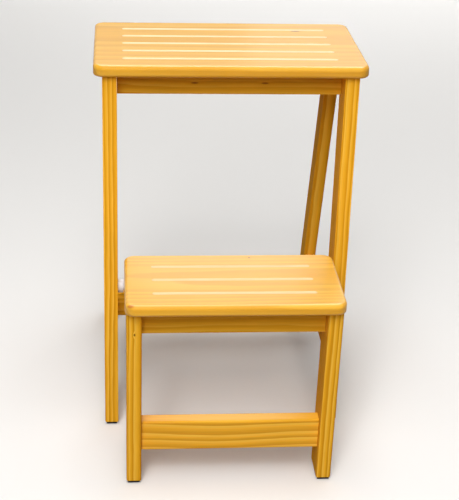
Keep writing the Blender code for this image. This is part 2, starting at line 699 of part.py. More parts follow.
def make_step():
    """The step that swings on the pivot bolts."""
    boards = (
        ("front", "step_apron", STEP_INNER_X, STEP_APRON_HEIGHT, STEP_APRON_Y),
        ("rear", "step_rear_apron", SIDE_RAIL_INNER_X, STEP_REAR_APRON_HEIGHT, STEP_REAR_APRON_Y),
    )
    screws = []
    mortises = {}
    for label, name, inner_x, height, board_y in boards:
        own = [
            screw("step_screw_" + label + "_" + hand, side * STEP_SCREW_SPACING / 2, board_y,
                  STEP_UNDERSIDE, height, True)
            for hand, side in SIDES
        ]
        screws += own
        middle = STEP_UNDERSIDE - height / 2
        mortises[label] = across_board(
            name, inner_x, APRON_THICKNESS, height - TOUCH, (0, board_y, middle - TOUCH / 2),
            (TENON_LENGTH, height - 2 * TENON_SHOULDER, middle), True, own,
        )
    mortises["low"] = across_board(
        "step_stretcher", STEP_INNER_X, STEP_STRETCHER_THICKNESS, STEP_STRETCHER_HEIGHT,
        (0, STRETCHER_Y, STRETCHER_MIDDLE),
        (TENON_LENGTH, STEP_STRETCHER_HEIGHT - 2 * TENON_SHOULDER, STRETCHER_MIDDLE), True,
        lean=STEP_LEG_LEAN,
    )

    outline = side_rail_outline()
    eye_bore = rod_cutter(
        "eye_bore", Matrix.Translation(PIVOT) @ across(1), BUSH_RADIUS, STEP_SPREAD, True, TURNED_SIDES
    )
    head_bores = []
    foot = step_leg_front(LEG_FOOT)
    for hand, side in SIDES:
        rail_bores = []
        for label, lift in zip(("lower", "upper"), spread(2, SIDE_RAIL_DOWEL_PITCH)):
            height = SIDE_RAIL_MIDDLE + lift
            spot = (side * SIDE_RAIL_X, step_leg_back(height), height)
            name = "side_rail_dowel_" + label + "_" + hand
            rail_bores.append(dowel(name, spot, (0, -1, 0), swings=True))
        head_spot = (side * STEP_LEG_X, STEP_LEG_TOP + STEP_HEAD_DOWEL_INSET, STEP_UNDERSIDE)
        head_bore = dowel("step_leg_head_dowel_" + hand, head_spot, (0, 0, 1), DOWEL_BITE, True)
        head_bores.append(head_bore)
        leaning_leg(
            "step_leg_" + hand, side * STEP_LEG_X, step_leg_front, STEP_LEG_DEPTH, LEG_FOOT,
            STEP_LEG_HEAD, STEP_LEG_THICKNESS, True,
            (mortises["front"], mortises["low"], head_bore, *rail_bores),
        )
        name = "step_side_rail_" + hand
        mesh = plate_mesh(name, outline, SIDE_RAIL_THICKNESS, side_rail_edge(outline))
        place(name, mesh, (side * SIDE_RAIL_X, *outline[0]), "pine", True,
              cutters=(eye_bore, mortises["rear"], *rail_bores))
        foot_pad(
            "step_foot_pad_" + hand, side * STEP_LEG_X, foot, foot + STEP_LEG_DEPTH,
            STEP_LEG_THICKNESS, swings=True,
        )

    groove_places = [STEP_MIDDLE + shift for shift in spread(STEP_GROOVE_COUNT, STEP_GROOVE_PITCH)]
    grooves = groove_cutter(
        "step_grooves", STEP_WIDTH, STEP_GROOVE_MARGIN, groove_places, STEP_HEIGHT, swings=True
    )
    place(
        "step_tread", tread_mesh("step_tread", STEP_WIDTH, STEP_DEPTH),
        (0, STEP_MIDDLE, STEP_HEIGHT - TREAD_THICKNESS / 2), "pine", True,
        cutters=(grooves, *head_bores, *screws),
    )


make_stool()
make_step()
bpy.context.view_layer.update()
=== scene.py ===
import json
import math
from functools import partial

import bmesh
import bpy
from mathutils import Matrix, Vector


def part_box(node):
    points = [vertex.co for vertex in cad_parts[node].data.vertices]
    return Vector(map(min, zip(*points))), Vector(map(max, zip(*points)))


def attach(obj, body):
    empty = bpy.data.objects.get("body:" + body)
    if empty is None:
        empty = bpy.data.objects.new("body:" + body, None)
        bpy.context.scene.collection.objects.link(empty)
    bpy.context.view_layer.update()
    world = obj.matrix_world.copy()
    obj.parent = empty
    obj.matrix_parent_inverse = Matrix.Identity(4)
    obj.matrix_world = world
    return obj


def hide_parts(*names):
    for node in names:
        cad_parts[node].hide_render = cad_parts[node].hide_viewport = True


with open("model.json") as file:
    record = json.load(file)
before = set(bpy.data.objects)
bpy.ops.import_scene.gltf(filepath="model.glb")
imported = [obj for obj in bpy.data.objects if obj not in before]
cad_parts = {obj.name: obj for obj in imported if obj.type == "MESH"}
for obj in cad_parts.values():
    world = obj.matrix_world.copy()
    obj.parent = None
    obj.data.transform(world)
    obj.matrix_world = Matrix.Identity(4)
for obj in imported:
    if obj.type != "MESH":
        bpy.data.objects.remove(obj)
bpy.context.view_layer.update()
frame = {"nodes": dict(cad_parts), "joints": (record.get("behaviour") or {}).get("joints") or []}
MM = 0.001

# The photograph's camera: its place, its turns and its focal length in pixels of a 459 by 500 frame
CAMERA_PLACE = (-0.1642, -1.9707, 1.1735)
CAMERA_PITCH = math.radians(24.703)
CAMERA_YAW = math.radians(5.149)
CAMERA_ROLL = math.radians(1.883)
FOCAL_PIXELS = 1351.85
FRAME_HEIGHT_PIXELS = 500
SENSOR = 36

# Boards: one edge radius, of which each edge gets its share
EDGE_RADIUS = 3 * MM
EDGE_SEGMENTS = 5
ROUND_SHARE = 1
FOOT_SHARE = 0.7
BUTT_SHARE = 0.1
STRETCHER_THICKNESS = 21 * MM
STRETCHER_HEIGHT = 51 * MM
HAIR = 0.01 * MM
SMOOTH_ANGLE = math.radians(35)

# Treads and their anti-slip grooves
TREAD_CORNER_RADIUS = 16 * MM
TREAD_CORNER_POINTS = 10
TREAD_EDGE_RADIUS = 8 * MM
TREAD_EDGE_SEGMENTS = 8
SOLE_EDGE_SHARE = 0.8
END_EDGE_SHARE = 0.55
SQUARE_EDGE = math.radians(45)
GROOVE_WIDTH = 8 * MM
GROOVE_DEPTH = 1.3 * MM
GROOVE_RIM = 0.3 * MM
GROOVE_RIM_SEGMENTS = 2
GROOVE_SIDES = 48
SEAT_GROOVES = 5
SEAT_GROOVE_PITCH = 39.5 * MM
SEAT_GROOVE_MARGIN = 42 * MM
STEP_GROOVES = 3
STEP_GROOVE_PITCH = 43.8 * MM
STEP_GROOVE_MARGIN = 39 * MM

# Fasteners
COUNTERBORE_PLAY = 1 * MM
BORE_PLAY = 0.3 * MM
SCREW_HEAD_HEIGHT = 2.5 * MM
SCREW_CHAMFER = 1 * MM
SCREW_RADIUS = 2 * MM
RECESS_LENGTH = 4.6 * MM
RECESS_WIDTH = 0.9 * MM
RECESS_DEPTH = 1.6 * MM
BOLT_HEAD_HEIGHT = 4 * MM
BOLT_RADIUS = 4 * MM
BUTTON_SHARE = 0.45
BUTTON_RISE_SHARE = 0.7
BUTTON_POINTS = 8
THREAD_PITCH = 1.25 * MM
THREAD_TURNS = 8
THREAD_DEPTH = 0.35 * MM
SOCKET_WIDTH = 5 * MM
SOCKET_DEPTH = 2.4 * MM
FLANGE_LENGTH = 8.5 * MM
HUB_RADIUS = 7.5 * MM
FLANGE_ROUND = 0.8 * MM
FLANGE_POINTS = 4
NUT_WIDTH = 13 * MM
NUT_CHAMFER = 0.9 * MM
COLLAR_HEIGHT = 2.4 * MM
COLLAR_RADIUS = 5.6 * MM
RING_RADIUS = 4.9 * MM
RING_DEPTH = 0.5 * MM
RING_PLAY = 0.1 * MM
BUSH_RADIUS = 6 * MM

# Foot pads: a slab with cross ribs on its sole
PAD_RIB_HEIGHT = 1.2 * MM
PAD_RIB_WIDTH = 2.4 * MM
PAD_RIB_PITCH = 4.4 * MM
PAD_RIB_SINK = 0.3 * MM

TURNED_SIDES = 48
SMALL_SIDES = 24
EYE_SEGMENTS = 40
OVERRUN = 2 * MM
WELD = 0.001 * MM
SIDES = {"left": -1, "right": 1}

PIVOT = Vector(frame["joints"][0]["pos_m"])


def linear(hex_code):
    """Colour of an sRGB hex value as a shader takes it."""
    channels = [int(hex_code[place:place + 2], 16) / 255 for place in (0, 2, 4)]
    shades = [c / 12.92 if c <= 0.04045 else ((c + 0.055) / 1.055) ** 2.4 for c in channels]
    return (*shades, 1)


def add_node(tree, kind, inputs=None, **settings):
    """Add a node with its settings, and link or set its inputs by name or number.

    An input given as a node takes its first live output. A list joins several.
    """
    node = tree.nodes.new(kind)
    node.location = (200 * (len(tree.nodes) % 8), -260 * (len(tree.nodes) // 8))
    for name, value in settings.items():
        setattr(node, name, value)
    for key, given in (inputs or {}).items():
        for value in given if isinstance(given, list) else [given]:
            if isinstance(value, bpy.types.Node):
                value = next(socket for socket in value.outputs if socket.enabled)
            if isinstance(value, bpy.types.NodeSocket):
                tree.links.new(value, node.inputs[key])
            else:
                node.inputs[key].default_value = value
    return node


def new_material(name):
    """A material that has no nodes yet, and what adds a node to it."""
    material = bpy.data.materials.new(name)
    material.use_nodes = True
    material.node_tree.nodes.clear()
    return material, partial(add_node, material.node_tree)


def end_material(add, inputs):
    """End a material in its shader, with the shader's inputs."""
    shader = add("ShaderNodeBsdfPrincipled", inputs)
    add("ShaderNodeOutputMaterial", {"Surface": shader})


def fill_ramp(ramp, stops):
    """Give a colour ramp its stops, each a place and an sRGB hex value."""
    band = ramp.color_ramp
    while len(band.elements) < len(stops):
        band.elements.new(1)
    for element, (place, hex_code) in zip(band.elements, stops):
        element.position = place
        element.color = linear(hex_code)


# Pine, sawn and planed, under a clear warm varnish. Pale earlywood runs into a narrow
# orange latewood band, and then starts pale again at once. The varnish wets the wood to
# a deep yellow and lies over it as a smooth coat: shining on the sanded treads and the
# stretcher, thin and dull on the rest. Each coat has its weight and its roughness. The
# seat, the step and the stretcher are sawn flat and show broad flames, so their rings are
# drawn wider than pine's usual few millimetres.
EARLYWOOD = "F8C64C"
MIDWOOD = "EEB02A"
LATEWOOD = "D49318"
WARM_PATCH = "E6A022"
KNOT = "6E3A0C"
FAINT_KNOT = "8A4E10"
WORN_CORNER = "B86A1C"
SEAT_COAT = (0.62, 0.2)
STEP_COAT = (1, 0.38)
STRETCHER_COAT = (0.5, 0.3)
THIN_COAT = (0.12, 0.45)
RING_WIDTH = 5 * MM
WAVE_WIDTH = 60 * MM
PATCH_WIDTH = 90 * MM
BURR_WIDTH = 8 * MM
BURR = 0.5 * MM

# Wood's fibres and flecks and the pebble of rubber are a few tenths of a millimetre wide,
# too fine to show in the render, so they are drawn as coarse as they need to show
FIBRE_WIDTH = 1.2 * MM
FLECK_WIDTH = 1.5 * MM
PEBBLE_WIDTH = 0.8 * MM
MOTTLE_WIDTH = 2 * MM
CLOUD_WIDTH = 2.5 * MM
RELIEF = 0.1 * MM

# How little the grain, the finer fibres and those in the grooves change along a board, and
# the flecks along a dowel
GRAIN_DRAW = 0.12
FIBRE_DRAW = 0.02
ROUTED_DRAW = 0.04
FLECK_DRAW = 0.12

# How much wider a noise is made so that it fills its range, how uneven the rings are, how
# dark and how pale the fibres' streaks get, and how far a mark's bend and dark core reach
NOISE_SPREAD = 4
UNEVEN_RINGS = 0.4
STREAKS = (0.92, 1.06)
BEND_REACH = 3
CORE_REACH = (0.5, 1.2)
CORE_STRENGTH = 0.85


def varnished_pine(
    name, grain, pith, ring_width, contrast=1, wave=4 * MM, coat=THIN_COAT, marks=(), paleness_and_painted_light=1,
):
    """Varnished pine for one board, as sawn from a log whose pith runs past it.

    The grain is the board's long direction and the pith is a point on the log's axis.
    Each board has its paleness, which is partly its own tone and partly painted light and shade: it
    darkens the aprons in the treads' shade and the seat under its strong top light, and it lightens
    the legs, the low stretcher and the rest rail in its shade.
    A mark has a place, its reach along X, Y and Z, a colour, which a mere bend in the
    grain lacks, and how far it bends the grain.
    """
    material, add = new_material("varnished_pine_" + name)
    turn = Vector((1, 0, 0)).rotation_difference(Vector(grain)).to_euler()
    place = add("ShaderNodeTexCoord").outputs["Object"]
    log = add(
        "ShaderNodeMapping", {"Vector": place, "Location": pith, "Rotation": turn},
        vector_type="TEXTURE",
    )

    # Distance from the pith, which wanders along the log
    drawn = add("ShaderNodeVectorMath", {0: log, 1: (GRAIN_DRAW, 1, 1)}, operation="MULTIPLY")
    sway = add("ShaderNodeTexNoise", {"Vector": drawn, "Scale": 1 / WAVE_WIDTH, "Detail": 1})
    burr = add("ShaderNodeTexNoise", {"Vector": drawn, "Scale": 1 / BURR_WIDTH, "Detail": 2})
    across = add("ShaderNodeVectorMath", {0: log, 1: (0, 1, 1)}, operation="MULTIPLY")
    distance = add("ShaderNodeVectorMath", {0: across}, operation="LENGTH")
    for noise, swing in ((sway, wave), (burr, BURR)):
        distance = add(
            "ShaderNodeMath", {0: noise, 1: NOISE_SPREAD * swing, 2: distance},
            operation="MULTIPLY_ADD",
        )
    spots = []
    for spot, reach, hex_code, bend in marks:
        near = add(
            "ShaderNodeMapping", {"Vector": place, "Location": spot, "Scale": reach},
            vector_type="TEXTURE",
        )
        away = add("ShaderNodeVectorMath", {0: near}, operation="LENGTH")
        pull = add(
            "ShaderNodeMapRange",
            {"Value": away, "From Min": 0, "From Max": BEND_REACH, "To Min": bend, "To Max": 0},
            interpolation_type="SMOOTHSTEP",
        )
        distance = add("ShaderNodeMath", {0: distance, 1: pull}, operation="ADD")
        if hex_code:
            core = add(
                "ShaderNodeMapRange",
                {
                    "Value": away, "From Min": CORE_REACH[0], "From Max": CORE_REACH[1],
                    "To Min": CORE_STRENGTH, "To Max": 0,
                },
                interpolation_type="SMOOTHSTEP",
            )
            spots.append((core, hex_code))

    # Rings of uneven width
    uneven = add(
        "ShaderNodeTexNoise", {"W": distance, "Scale": UNEVEN_RINGS / ring_width, "Detail": 1},
        noise_dimensions="1D",
    )
    ring = add(
        "ShaderNodeMath", {0: distance, 1: 1 / ring_width, 2: uneven}, operation="MULTIPLY_ADD"
    )
    ring = add("ShaderNodeMath", {0: ring}, operation="FRACT")
    rings = add("ShaderNodeValToRGB", {0: ring})
    fill_ramp(rings, [
        (0, EARLYWOOD), (0.42, MIDWOOD), (0.74, LATEWOOD), (0.9, LATEWOOD), (1, EARLYWOOD),
    ])
    colour = add(
        "ShaderNodeMix", {"Factor": contrast, 6: linear(MIDWOOD), 7: rings}, data_type="RGBA"
    )

    # Warm patches along the board, and fine fibres
    patches = add("ShaderNodeTexNoise", {"Vector": drawn, "Scale": 1 / PATCH_WIDTH, "Detail": 2})
    patches = add(
        "ShaderNodeMapRange", {"Value": patches, "From Min": 0.45, "From Max": 0.75, "To Max": 0.5}
    )
    colour = add(
        "ShaderNodeMix", {"Factor": patches, 6: colour, 7: linear(WARM_PATCH)}, data_type="RGBA"
    )
    thread = add("ShaderNodeVectorMath", {0: log, 1: (FIBRE_DRAW, 1, 1)}, operation="MULTIPLY")
    fibres = add("ShaderNodeTexNoise", {"Vector": thread, "Scale": 1 / FIBRE_WIDTH, "Detail": 3})
    # The fibres' streaks carry the board's paleness, with its painted light and shade
    streaks = add(
        "ShaderNodeMapRange",
        {
            "Value": fibres, "From Min": 0.3, "From Max": 0.7,
            "To Min": STREAKS[0] * paleness_and_painted_light, "To Max": STREAKS[1] * paleness_and_painted_light,
        },
    )
    colour = add("ShaderNodeVectorMath", {0: colour, "Scale": streaks}, operation="SCALE")
    for core, hex_code in spots:
        colour = add(
            "ShaderNodeMix", {"Factor": core, 6: colour, 7: linear(hex_code)}, data_type="RGBA"
        )
    dull = add("ShaderNodeMapRange", {"Value": fibres, "To Min": 0.45, "To Max": 0.65})
    relief = add("ShaderNodeBump", {"Height": fibres, "Strength": 0.2, "Distance": RELIEF})
    end_material(add, {
        "Base Color": colour, "Roughness": dull, "Normal": relief, "Specular IOR Level": 0,
        "Coat Weight": coat[0], "Coat Roughness": coat[1],
    })
    return material


def groove_painted_highlight():
    """Pine in the treads' grooves, with fine fibres. Its pale cream is mostly a painted highlight
    for the shine that the grooves' walls catch, and partly the paler wood that the router bares.
    """
    material, add = new_material("groove_painted_highlight")
    place = add("ShaderNodeTexCoord").outputs["Object"]
    drawn = add("ShaderNodeVectorMath", {0: place, 1: (ROUTED_DRAW, 1, 1)}, operation="MULTIPLY")
    fibres = add("ShaderNodeTexNoise", {"Vector": drawn, "Scale": 1 / FIBRE_WIDTH, "Detail": 3})
    cream = add("ShaderNodeValToRGB", {0: fibres})
    # These cream stops are the grooves' painted highlight
    fill_ramp(cream, [(0.3, "E6C48C"), (0.7, "F0D4A6")])
    end_material(add, {"Base Color": cream, "Roughness": 0.6, "Specular IOR Level": 0.2})
    return material


def bare_beech():
    """Turned beech, unvarnished: a dry pinkish tan with short dark flecks along the dowel."""
    material, add = new_material("bare_beech")
    place = add("ShaderNodeTexCoord").outputs["Object"]
    drawn = add("ShaderNodeVectorMath", {0: place, 1: (1, 1, FLECK_DRAW)}, operation="MULTIPLY")
    flecks = add("ShaderNodeTexNoise", {"Vector": drawn, "Scale": 1 / FLECK_WIDTH, "Detail": 3})
    tan = add("ShaderNodeValToRGB", {0: flecks})
    fill_ramp(tan, [(0.3, "B98A5E"), (0.6, "D9B489")])
    end_material(add, {"Base Color": tan, "Roughness": 0.7})
    return material


def moulded_nylon():
    """Moulded white nylon: waxy, with a faint satin mottle."""
    material, add = new_material("moulded_nylon")
    place = add("ShaderNodeTexCoord").outputs["Object"]
    mottle = add("ShaderNodeTexNoise", {"Vector": place, "Scale": 1 / MOTTLE_WIDTH, "Detail": 2})
    white = add("ShaderNodeValToRGB", {0: mottle})
    fill_ramp(white, [(0.3, "EEF4FC"), (0.7, "F5FAFF")])
    satin = add("ShaderNodeMapRange", {"Value": mottle, "To Min": 0.28, "To Max": 0.42})
    end_material(add, {"Base Color": white, "Roughness": satin})
    return material


def moulded_rubber():
    """Moulded black rubber: near black, with a matt bloom and a fine pebble."""
    material, add = new_material("moulded_rubber")
    place = add("ShaderNodeTexCoord").outputs["Object"]
    pebble = add("ShaderNodeTexNoise", {"Vector": place, "Scale": 1 / PEBBLE_WIDTH, "Detail": 2})
    black = add("ShaderNodeValToRGB", {0: pebble})
    fill_ramp(black, [(0.3, "121212"), (0.75, "242322")])
    relief = add("ShaderNodeBump", {"Height": pebble, "Strength": 0.3, "Distance": RELIEF})
    end_material(add, {"Base Color": black, "Roughness": 0.75, "Normal": relief})
    return material


def zinc_plated_steel():
    """Bright zinc-plated steel: a cool grey metal with cloudy patches in its shine."""
    material, add = new_material("zinc_plated_steel")
    place = add("ShaderNodeTexCoord").outputs["Object"]
    clouds = add("ShaderNodeTexNoise", {"Vector": place, "Scale": 1 / CLOUD_WIDTH, "Detail": 3})
    grey = add("ShaderNodeValToRGB", {0: clouds})
    fill_ramp(grey, [(0.3, "B4B7BB"), (0.7, "CDD0D2")])
    shine = add("ShaderNodeMapRange", {"Value": clouds, "To Min": 0.2, "To Max": 0.42})
    end_material(add, {"Base Color": grey, "Roughness": shine, "Metallic": 1})
    return material


def new_holder(name, mesh):
    """An object that carries a mesh while its modifiers run."""
    holder = bpy.data.objects.new(name, mesh)
    bpy.context.scene.collection.objects.link(holder)
    return holder


def plain_mesh(holder):
    """The holder's mesh with its modifiers applied. The holder goes."""
    bpy.context.view_layer.update()
    graph = bpy.context.evaluated_depsgraph_get()
    mesh = bpy.data.meshes.new_from_object(holder.evaluated_get(graph), depsgraph=graph)
    bpy.data.objects.remove(holder)
    return mesh


def smoothed(mesh):
    """Shade the mesh smooth over its rounded edges and keep its flat faces flat."""
    mesh.shade_smooth()
    mesh.set_sharp_from_angle(angle=SMOOTH_ANGLE)
    holder = new_holder("smoothing", mesh)
    flatten = holder.modifiers.new("flatten", "WEIGHTED_NORMAL")
    flatten.keep_sharp = True
    return plain_mesh(holder)


def add_piece(name, mesh, body, nodes):
    """Put a finished mesh on its body, in place of the CAD nodes that it stands for."""
    mesh.name = name
    piece = bpy.data.objects.new(name, mesh)
    bpy.context.scene.collection.objects.link(piece)
    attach(piece, body)
    if nodes:
        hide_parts(*nodes)


def mesh_of(body, name):
    """Turn a bmesh into a mesh."""
    mesh = bpy.data.meshes.new(name)
    body.to_mesh(mesh)
    body.free()
    return mesh


def level_span(node, level, axis):
    """Least and greatest place along an axis of a node's points at a height."""
    points = [vertex.co for vertex in frame["nodes"][node].data.vertices]
    spots = [point[axis] for point in points if abs(point.z - level) < HAIR]
    return min(spots), max(spots)


def leaning_outline(node):
    """Outline in Y and Z of a board whose foot and head are level, from its foot's front."""
    low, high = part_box(node)
    foot = level_span(node, low.z, 1)
    head = level_span(node, high.z, 1)
    return [(foot[0], low.z), (foot[1], low.z), (head[1], high.z), (head[0], high.z)]


def board_mesh(outline, low_x, high_x, side_shares, corner_shares, cutters):
    """A board from its outline in Y and Z, with rounded edges and bored holes.

    Each side of the outline has a share of the edge radius, and so has each corner.
    """
    body = bmesh.new()
    weight = body.edges.layers.float.new("bevel_weight_edge")
    rings = [[body.verts.new((x, *point)) for point in outline] for x in (low_x, high_x)]
    body.faces.new(rings[0])
    body.faces.new(reversed(rings[1]))
    count = len(outline)
    for index in range(count):
        follower = (index + 1) % count
        body.faces.new((rings[0][follower], rings[0][index], rings[1][index], rings[1][follower]))
    for index in range(count):
        follower = (index + 1) % count
        body.edges.get((rings[0][index], rings[1][index]))[weight] = corner_shares[index]
        for ring in rings:
            body.edges.get((ring[index], ring[follower]))[weight] = side_shares[index]
    bmesh.ops.recalc_face_normals(body, faces=body.faces)
    holder = new_holder("board", mesh_of(body, "board"))
    for cutter in cutters:
        cut = holder.modifiers.new("bore", "BOOLEAN")
        cut.operation = "DIFFERENCE"
        cut.object = cutter
    edges = holder.modifiers.new("edges", "BEVEL")
    edges.limit_method = "WEIGHT"
    edges.width = EDGE_RADIUS
    edges.segments = EDGE_SEGMENTS
    mesh = smoothed(plain_mesh(holder))
    for cutter in cutters:
        bpy.data.objects.remove(cutter)
    return mesh


def turned_mesh(profile, closed=False):
    """A profile of radius and length, turned about Z."""
    body = bmesh.new()
    points = [body.verts.new((radius, 0, along)) for radius, along in profile]
    pairs = list(zip(points, points[1:]))
    if closed:
        pairs.append((points[-1], points[0]))
    links = [body.edges.new(pair) for pair in pairs]
    bmesh.ops.spin(
        body, geom=points + links, axis=(0, 0, 1), cent=(0, 0, 0), angle=2 * math.pi,
        steps=TURNED_SIDES, use_merge=True,
    )
    bmesh.ops.remove_doubles(body, verts=body.verts, dist=WELD)
    bmesh.ops.recalc_face_normals(body, faces=body.faces)
    return mesh_of(body, "turned")


def boring(spot, radius, length, direction):
    """A cutter for a round hole, centred on a spot."""
    body = bmesh.new()
    turn = Vector(direction).to_track_quat("Z", "Y").to_matrix().to_4x4()
    bmesh.ops.create_cone(
        body, cap_ends=True, segments=TURNED_SIDES, radius1=radius, radius2=radius, depth=length,
        matrix=Matrix.Translation(spot) @ turn,
    )
    return new_holder("boring", mesh_of(body, "boring"))


def add_board(node, body, material, outline, low_x, high_x, side_shares, corner_shares, cutters=()):
    """A board in place of its CAD node."""
    mesh = board_mesh(outline, low_x, high_x, side_shares, corner_shares, cutters)
    mesh.materials.append(material)
    add_piece(node + "_board", mesh, body, [node])


def leg(node, body, material, cutters=()):
    """A leg, its long edges rounded over and its foot eased."""
    low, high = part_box(node)
    sides = [FOOT_SHARE, ROUND_SHARE, BUTT_SHARE, ROUND_SHARE]
    corners = [FOOT_SHARE, FOOT_SHARE, BUTT_SHARE, BUTT_SHARE]
    add_board(node, body, material, leaning_outline(node), low.x, high.x, sides, corners, cutters)


def screw_holes(screws, floor):
    """Cutters for the holes in which screw heads lie, open at the board's lower edge."""
    cutters = []
    for screw in screws:
        low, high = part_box(screw)
        middle = (low + high) / 2
        radius = (high.x - low.x) / 2 + COUNTERBORE_PLAY
        top = low.z + SCREW_HEAD_HEIGHT + BORE_PLAY
        length = top - floor + OVERRUN
        cutters.append(boring((middle.x, middle.y, top - length / 2), radius, length, (0, 0, 1)))
    return cutters


def cross_board(node, body, material, outline=None, screws=()):
    """A board between two sides, its long edges rounded over, with its screws' holes."""
    low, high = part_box(node)
    left, right = level_span(node, high.z, 0)
    if outline is None:
        outline = [(low.y, low.z), (high.y, low.z), (high.y, high.z), (low.y, high.z)]
    sides = [BUTT_SHARE] * 4
    corners = [ROUND_SHARE] * 4
    holes = screw_holes(screws, low.z)
    add_board(node, body, material, outline, left, right, sides, corners, holes)


def side_board(node, material):
    """A board from the front leg to the leaning rear leg."""
    low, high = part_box(node)
    sides = [ROUND_SHARE, BUTT_SHARE, ROUND_SHARE, BUTT_SHARE]
    corners = [BUTT_SHARE] * 4
    add_board(node, "stool_frame", material, leaning_outline(node), low.x, high.x, sides, corners)


def tangent_angle(corner, radius, turn):
    """Angle on the eye at which a line from a corner touches it."""
    away = Vector(corner) - PIVOT.yz
    return math.atan2(away.y, away.x) + turn * math.acos(radius / away.length)


def side_rail(node, leg_node, material):
    """The step's side rail, with its round eye about the pivot."""
    low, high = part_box(node)
    radius = high.y - PIVOT.y
    leg_foot, leg_head = leaning_outline(leg_node)[1:3]
    lean = (leg_foot[0] - leg_head[0]) / (leg_head[1] - leg_foot[1])
    upper_front, upper_back = level_span(node, high.z, 1)
    lower = (upper_front + lean * (high.z - low.z), low.z)
    start = tangent_angle(lower, radius, 1) % (2 * math.pi) - 2 * math.pi
    end = tangent_angle((upper_back, high.z), radius, -1)
    outline = [lower]
    for index in range(EYE_SEGMENTS + 1):
        angle = start + (end - start) * index / EYE_SEGMENTS
        outline.append((PIVOT.y + radius * math.cos(angle), PIVOT.z + radius * math.sin(angle)))
    outline += [(upper_back, high.z), (upper_front, high.z)]
    count = len(outline)
    sides = [ROUND_SHARE] * (count - 2) + [BUTT_SHARE] * 2
    corners = [BUTT_SHARE] + [0] * (count - 3) + [BUTT_SHARE] * 2
    middle = ((low.x + high.x) / 2, PIVOT.y, PIVOT.z)
    eye = boring(middle, BUSH_RADIUS + BORE_PLAY, high.x - low.x + OVERRUN, (1, 0, 0))
    add_board(node, "swing_step", material, outline, low.x, high.x, sides, corners, [eye])


def new_tree(name, sockets):
    """A Geometry Nodes tree with named inputs, those inputs inside it, and what adds a node."""
    tree = bpy.data.node_groups.new(name, "GeometryNodeTree")
    tree.interface.new_socket("Geometry", in_out="INPUT", socket_type="NodeSocketGeometry")
    for socket_name, kind in sockets:
        tree.interface.new_socket(socket_name, in_out="INPUT", socket_type="NodeSocket" + kind)
    tree.interface.new_socket("Geometry", in_out="OUTPUT", socket_type="NodeSocketGeometry")
    add = partial(add_node, tree)
    return tree, add("NodeGroupInput").outputs, add


def close_tree(add, geometry, given, where=True):
    """End a tree in plain, real geometry, with its material on the chosen faces."""
    real = add("GeometryNodeRealizeInstances", {0: geometry})
    dressed = add(
        "GeometryNodeSetMaterial",
        {"Geometry": real, "Selection": where, "Material": given["Material"]},
    )
    add("NodeGroupOutput", {"Geometry": dressed})


def run_tree(tree, mesh, values):
    """What a tree makes of a mesh with these inputs."""
    holder = new_holder(tree.name, mesh)
    maker = holder.modifiers.new("maker", "NODES")
    maker.node_group = tree
    for item in tree.interface.items_tree:
        if item.in_out == "INPUT" and item.name in values:
            maker[item.identifier] = values[item.name]
    return plain_mesh(holder)


def tread_tree():
    """A board with round corners in plan, its edges still square.

    Each edge has its share of the rounding that follows: the upper front edge has all
    of it, the ends and the back have less, and so have the edges below.
    """
    tree, given, add = new_tree("tread", [
        ("Width", "Float"), ("Depth", "Float"), ("Thickness", "Float"), ("Centre", "Vector"),
        ("Corner Radius", "Float"), ("Corner Points", "Int"), ("Sole Share", "Float"),
        ("End Share", "Float"), ("Material", "Material"),
    ])
    plan = add(
        "GeometryNodeCurvePrimitiveQuadrilateral",
        {"Width": given["Width"], "Height": given["Depth"]},
    )
    plan = add(
        "GeometryNodeFilletCurve",
        {"Curve": plan, "Count": given["Corner Points"], "Radius": given["Corner Radius"]},
        mode="POLY",
    )
    sole = add("GeometryNodeFillCurve", {"Curve": plan}, mode="NGONS")
    grown = add("GeometryNodeExtrudeMesh", {
        "Mesh": sole, "Offset": (0, 0, 1), "Offset Scale": given["Thickness"], "Individual": False,
    })
    turned = add("GeometryNodeFlipFaces", {"Mesh": sole})
    block = add("GeometryNodeJoinGeometry", {0: [grown, turned]})
    block = add("GeometryNodeMergeByDistance", {"Geometry": block, "Distance": WELD})
    turn = add("GeometryNodeInputMeshEdgeAngle")
    square = add("ShaderNodeMath", {0: turn, 1: SQUARE_EDGE}, operation="GREATER_THAN")
    point = add("GeometryNodeInputPosition")
    place = add("ShaderNodeSeparateXYZ", {0: point}).outputs
    share = add("ShaderNodeMapRange", {
        "Value": place["Z"], "From Max": given["Thickness"], "To Min": given["Sole Share"],
    })
    front = add("ShaderNodeMath", {0: given["Depth"], 1: -0.5}, operation="MULTIPLY")
    past = add("ShaderNodeMath", {0: front, 1: given["Corner Radius"]}, operation="ADD")
    end_share = add("ShaderNodeMapRange", {
        "Value": place["Y"], "From Min": front, "From Max": past, "To Min": 1,
        "To Max": given["End Share"],
    })
    share = add("ShaderNodeMath", {0: share, 1: end_share}, operation="MULTIPLY")
    share = add("ShaderNodeMath", {0: share, 1: square}, operation="MULTIPLY")
    shared = add(
        "GeometryNodeStoreNamedAttribute",
        {"Geometry": block, "Name": "bevel_weight_edge", "Value": share},
        data_type="FLOAT", domain="EDGE",
    )
    placed = add("GeometryNodeTransform", {"Geometry": shared, "Translation": given["Centre"]})
    close_tree(add, placed, given)
    return tree


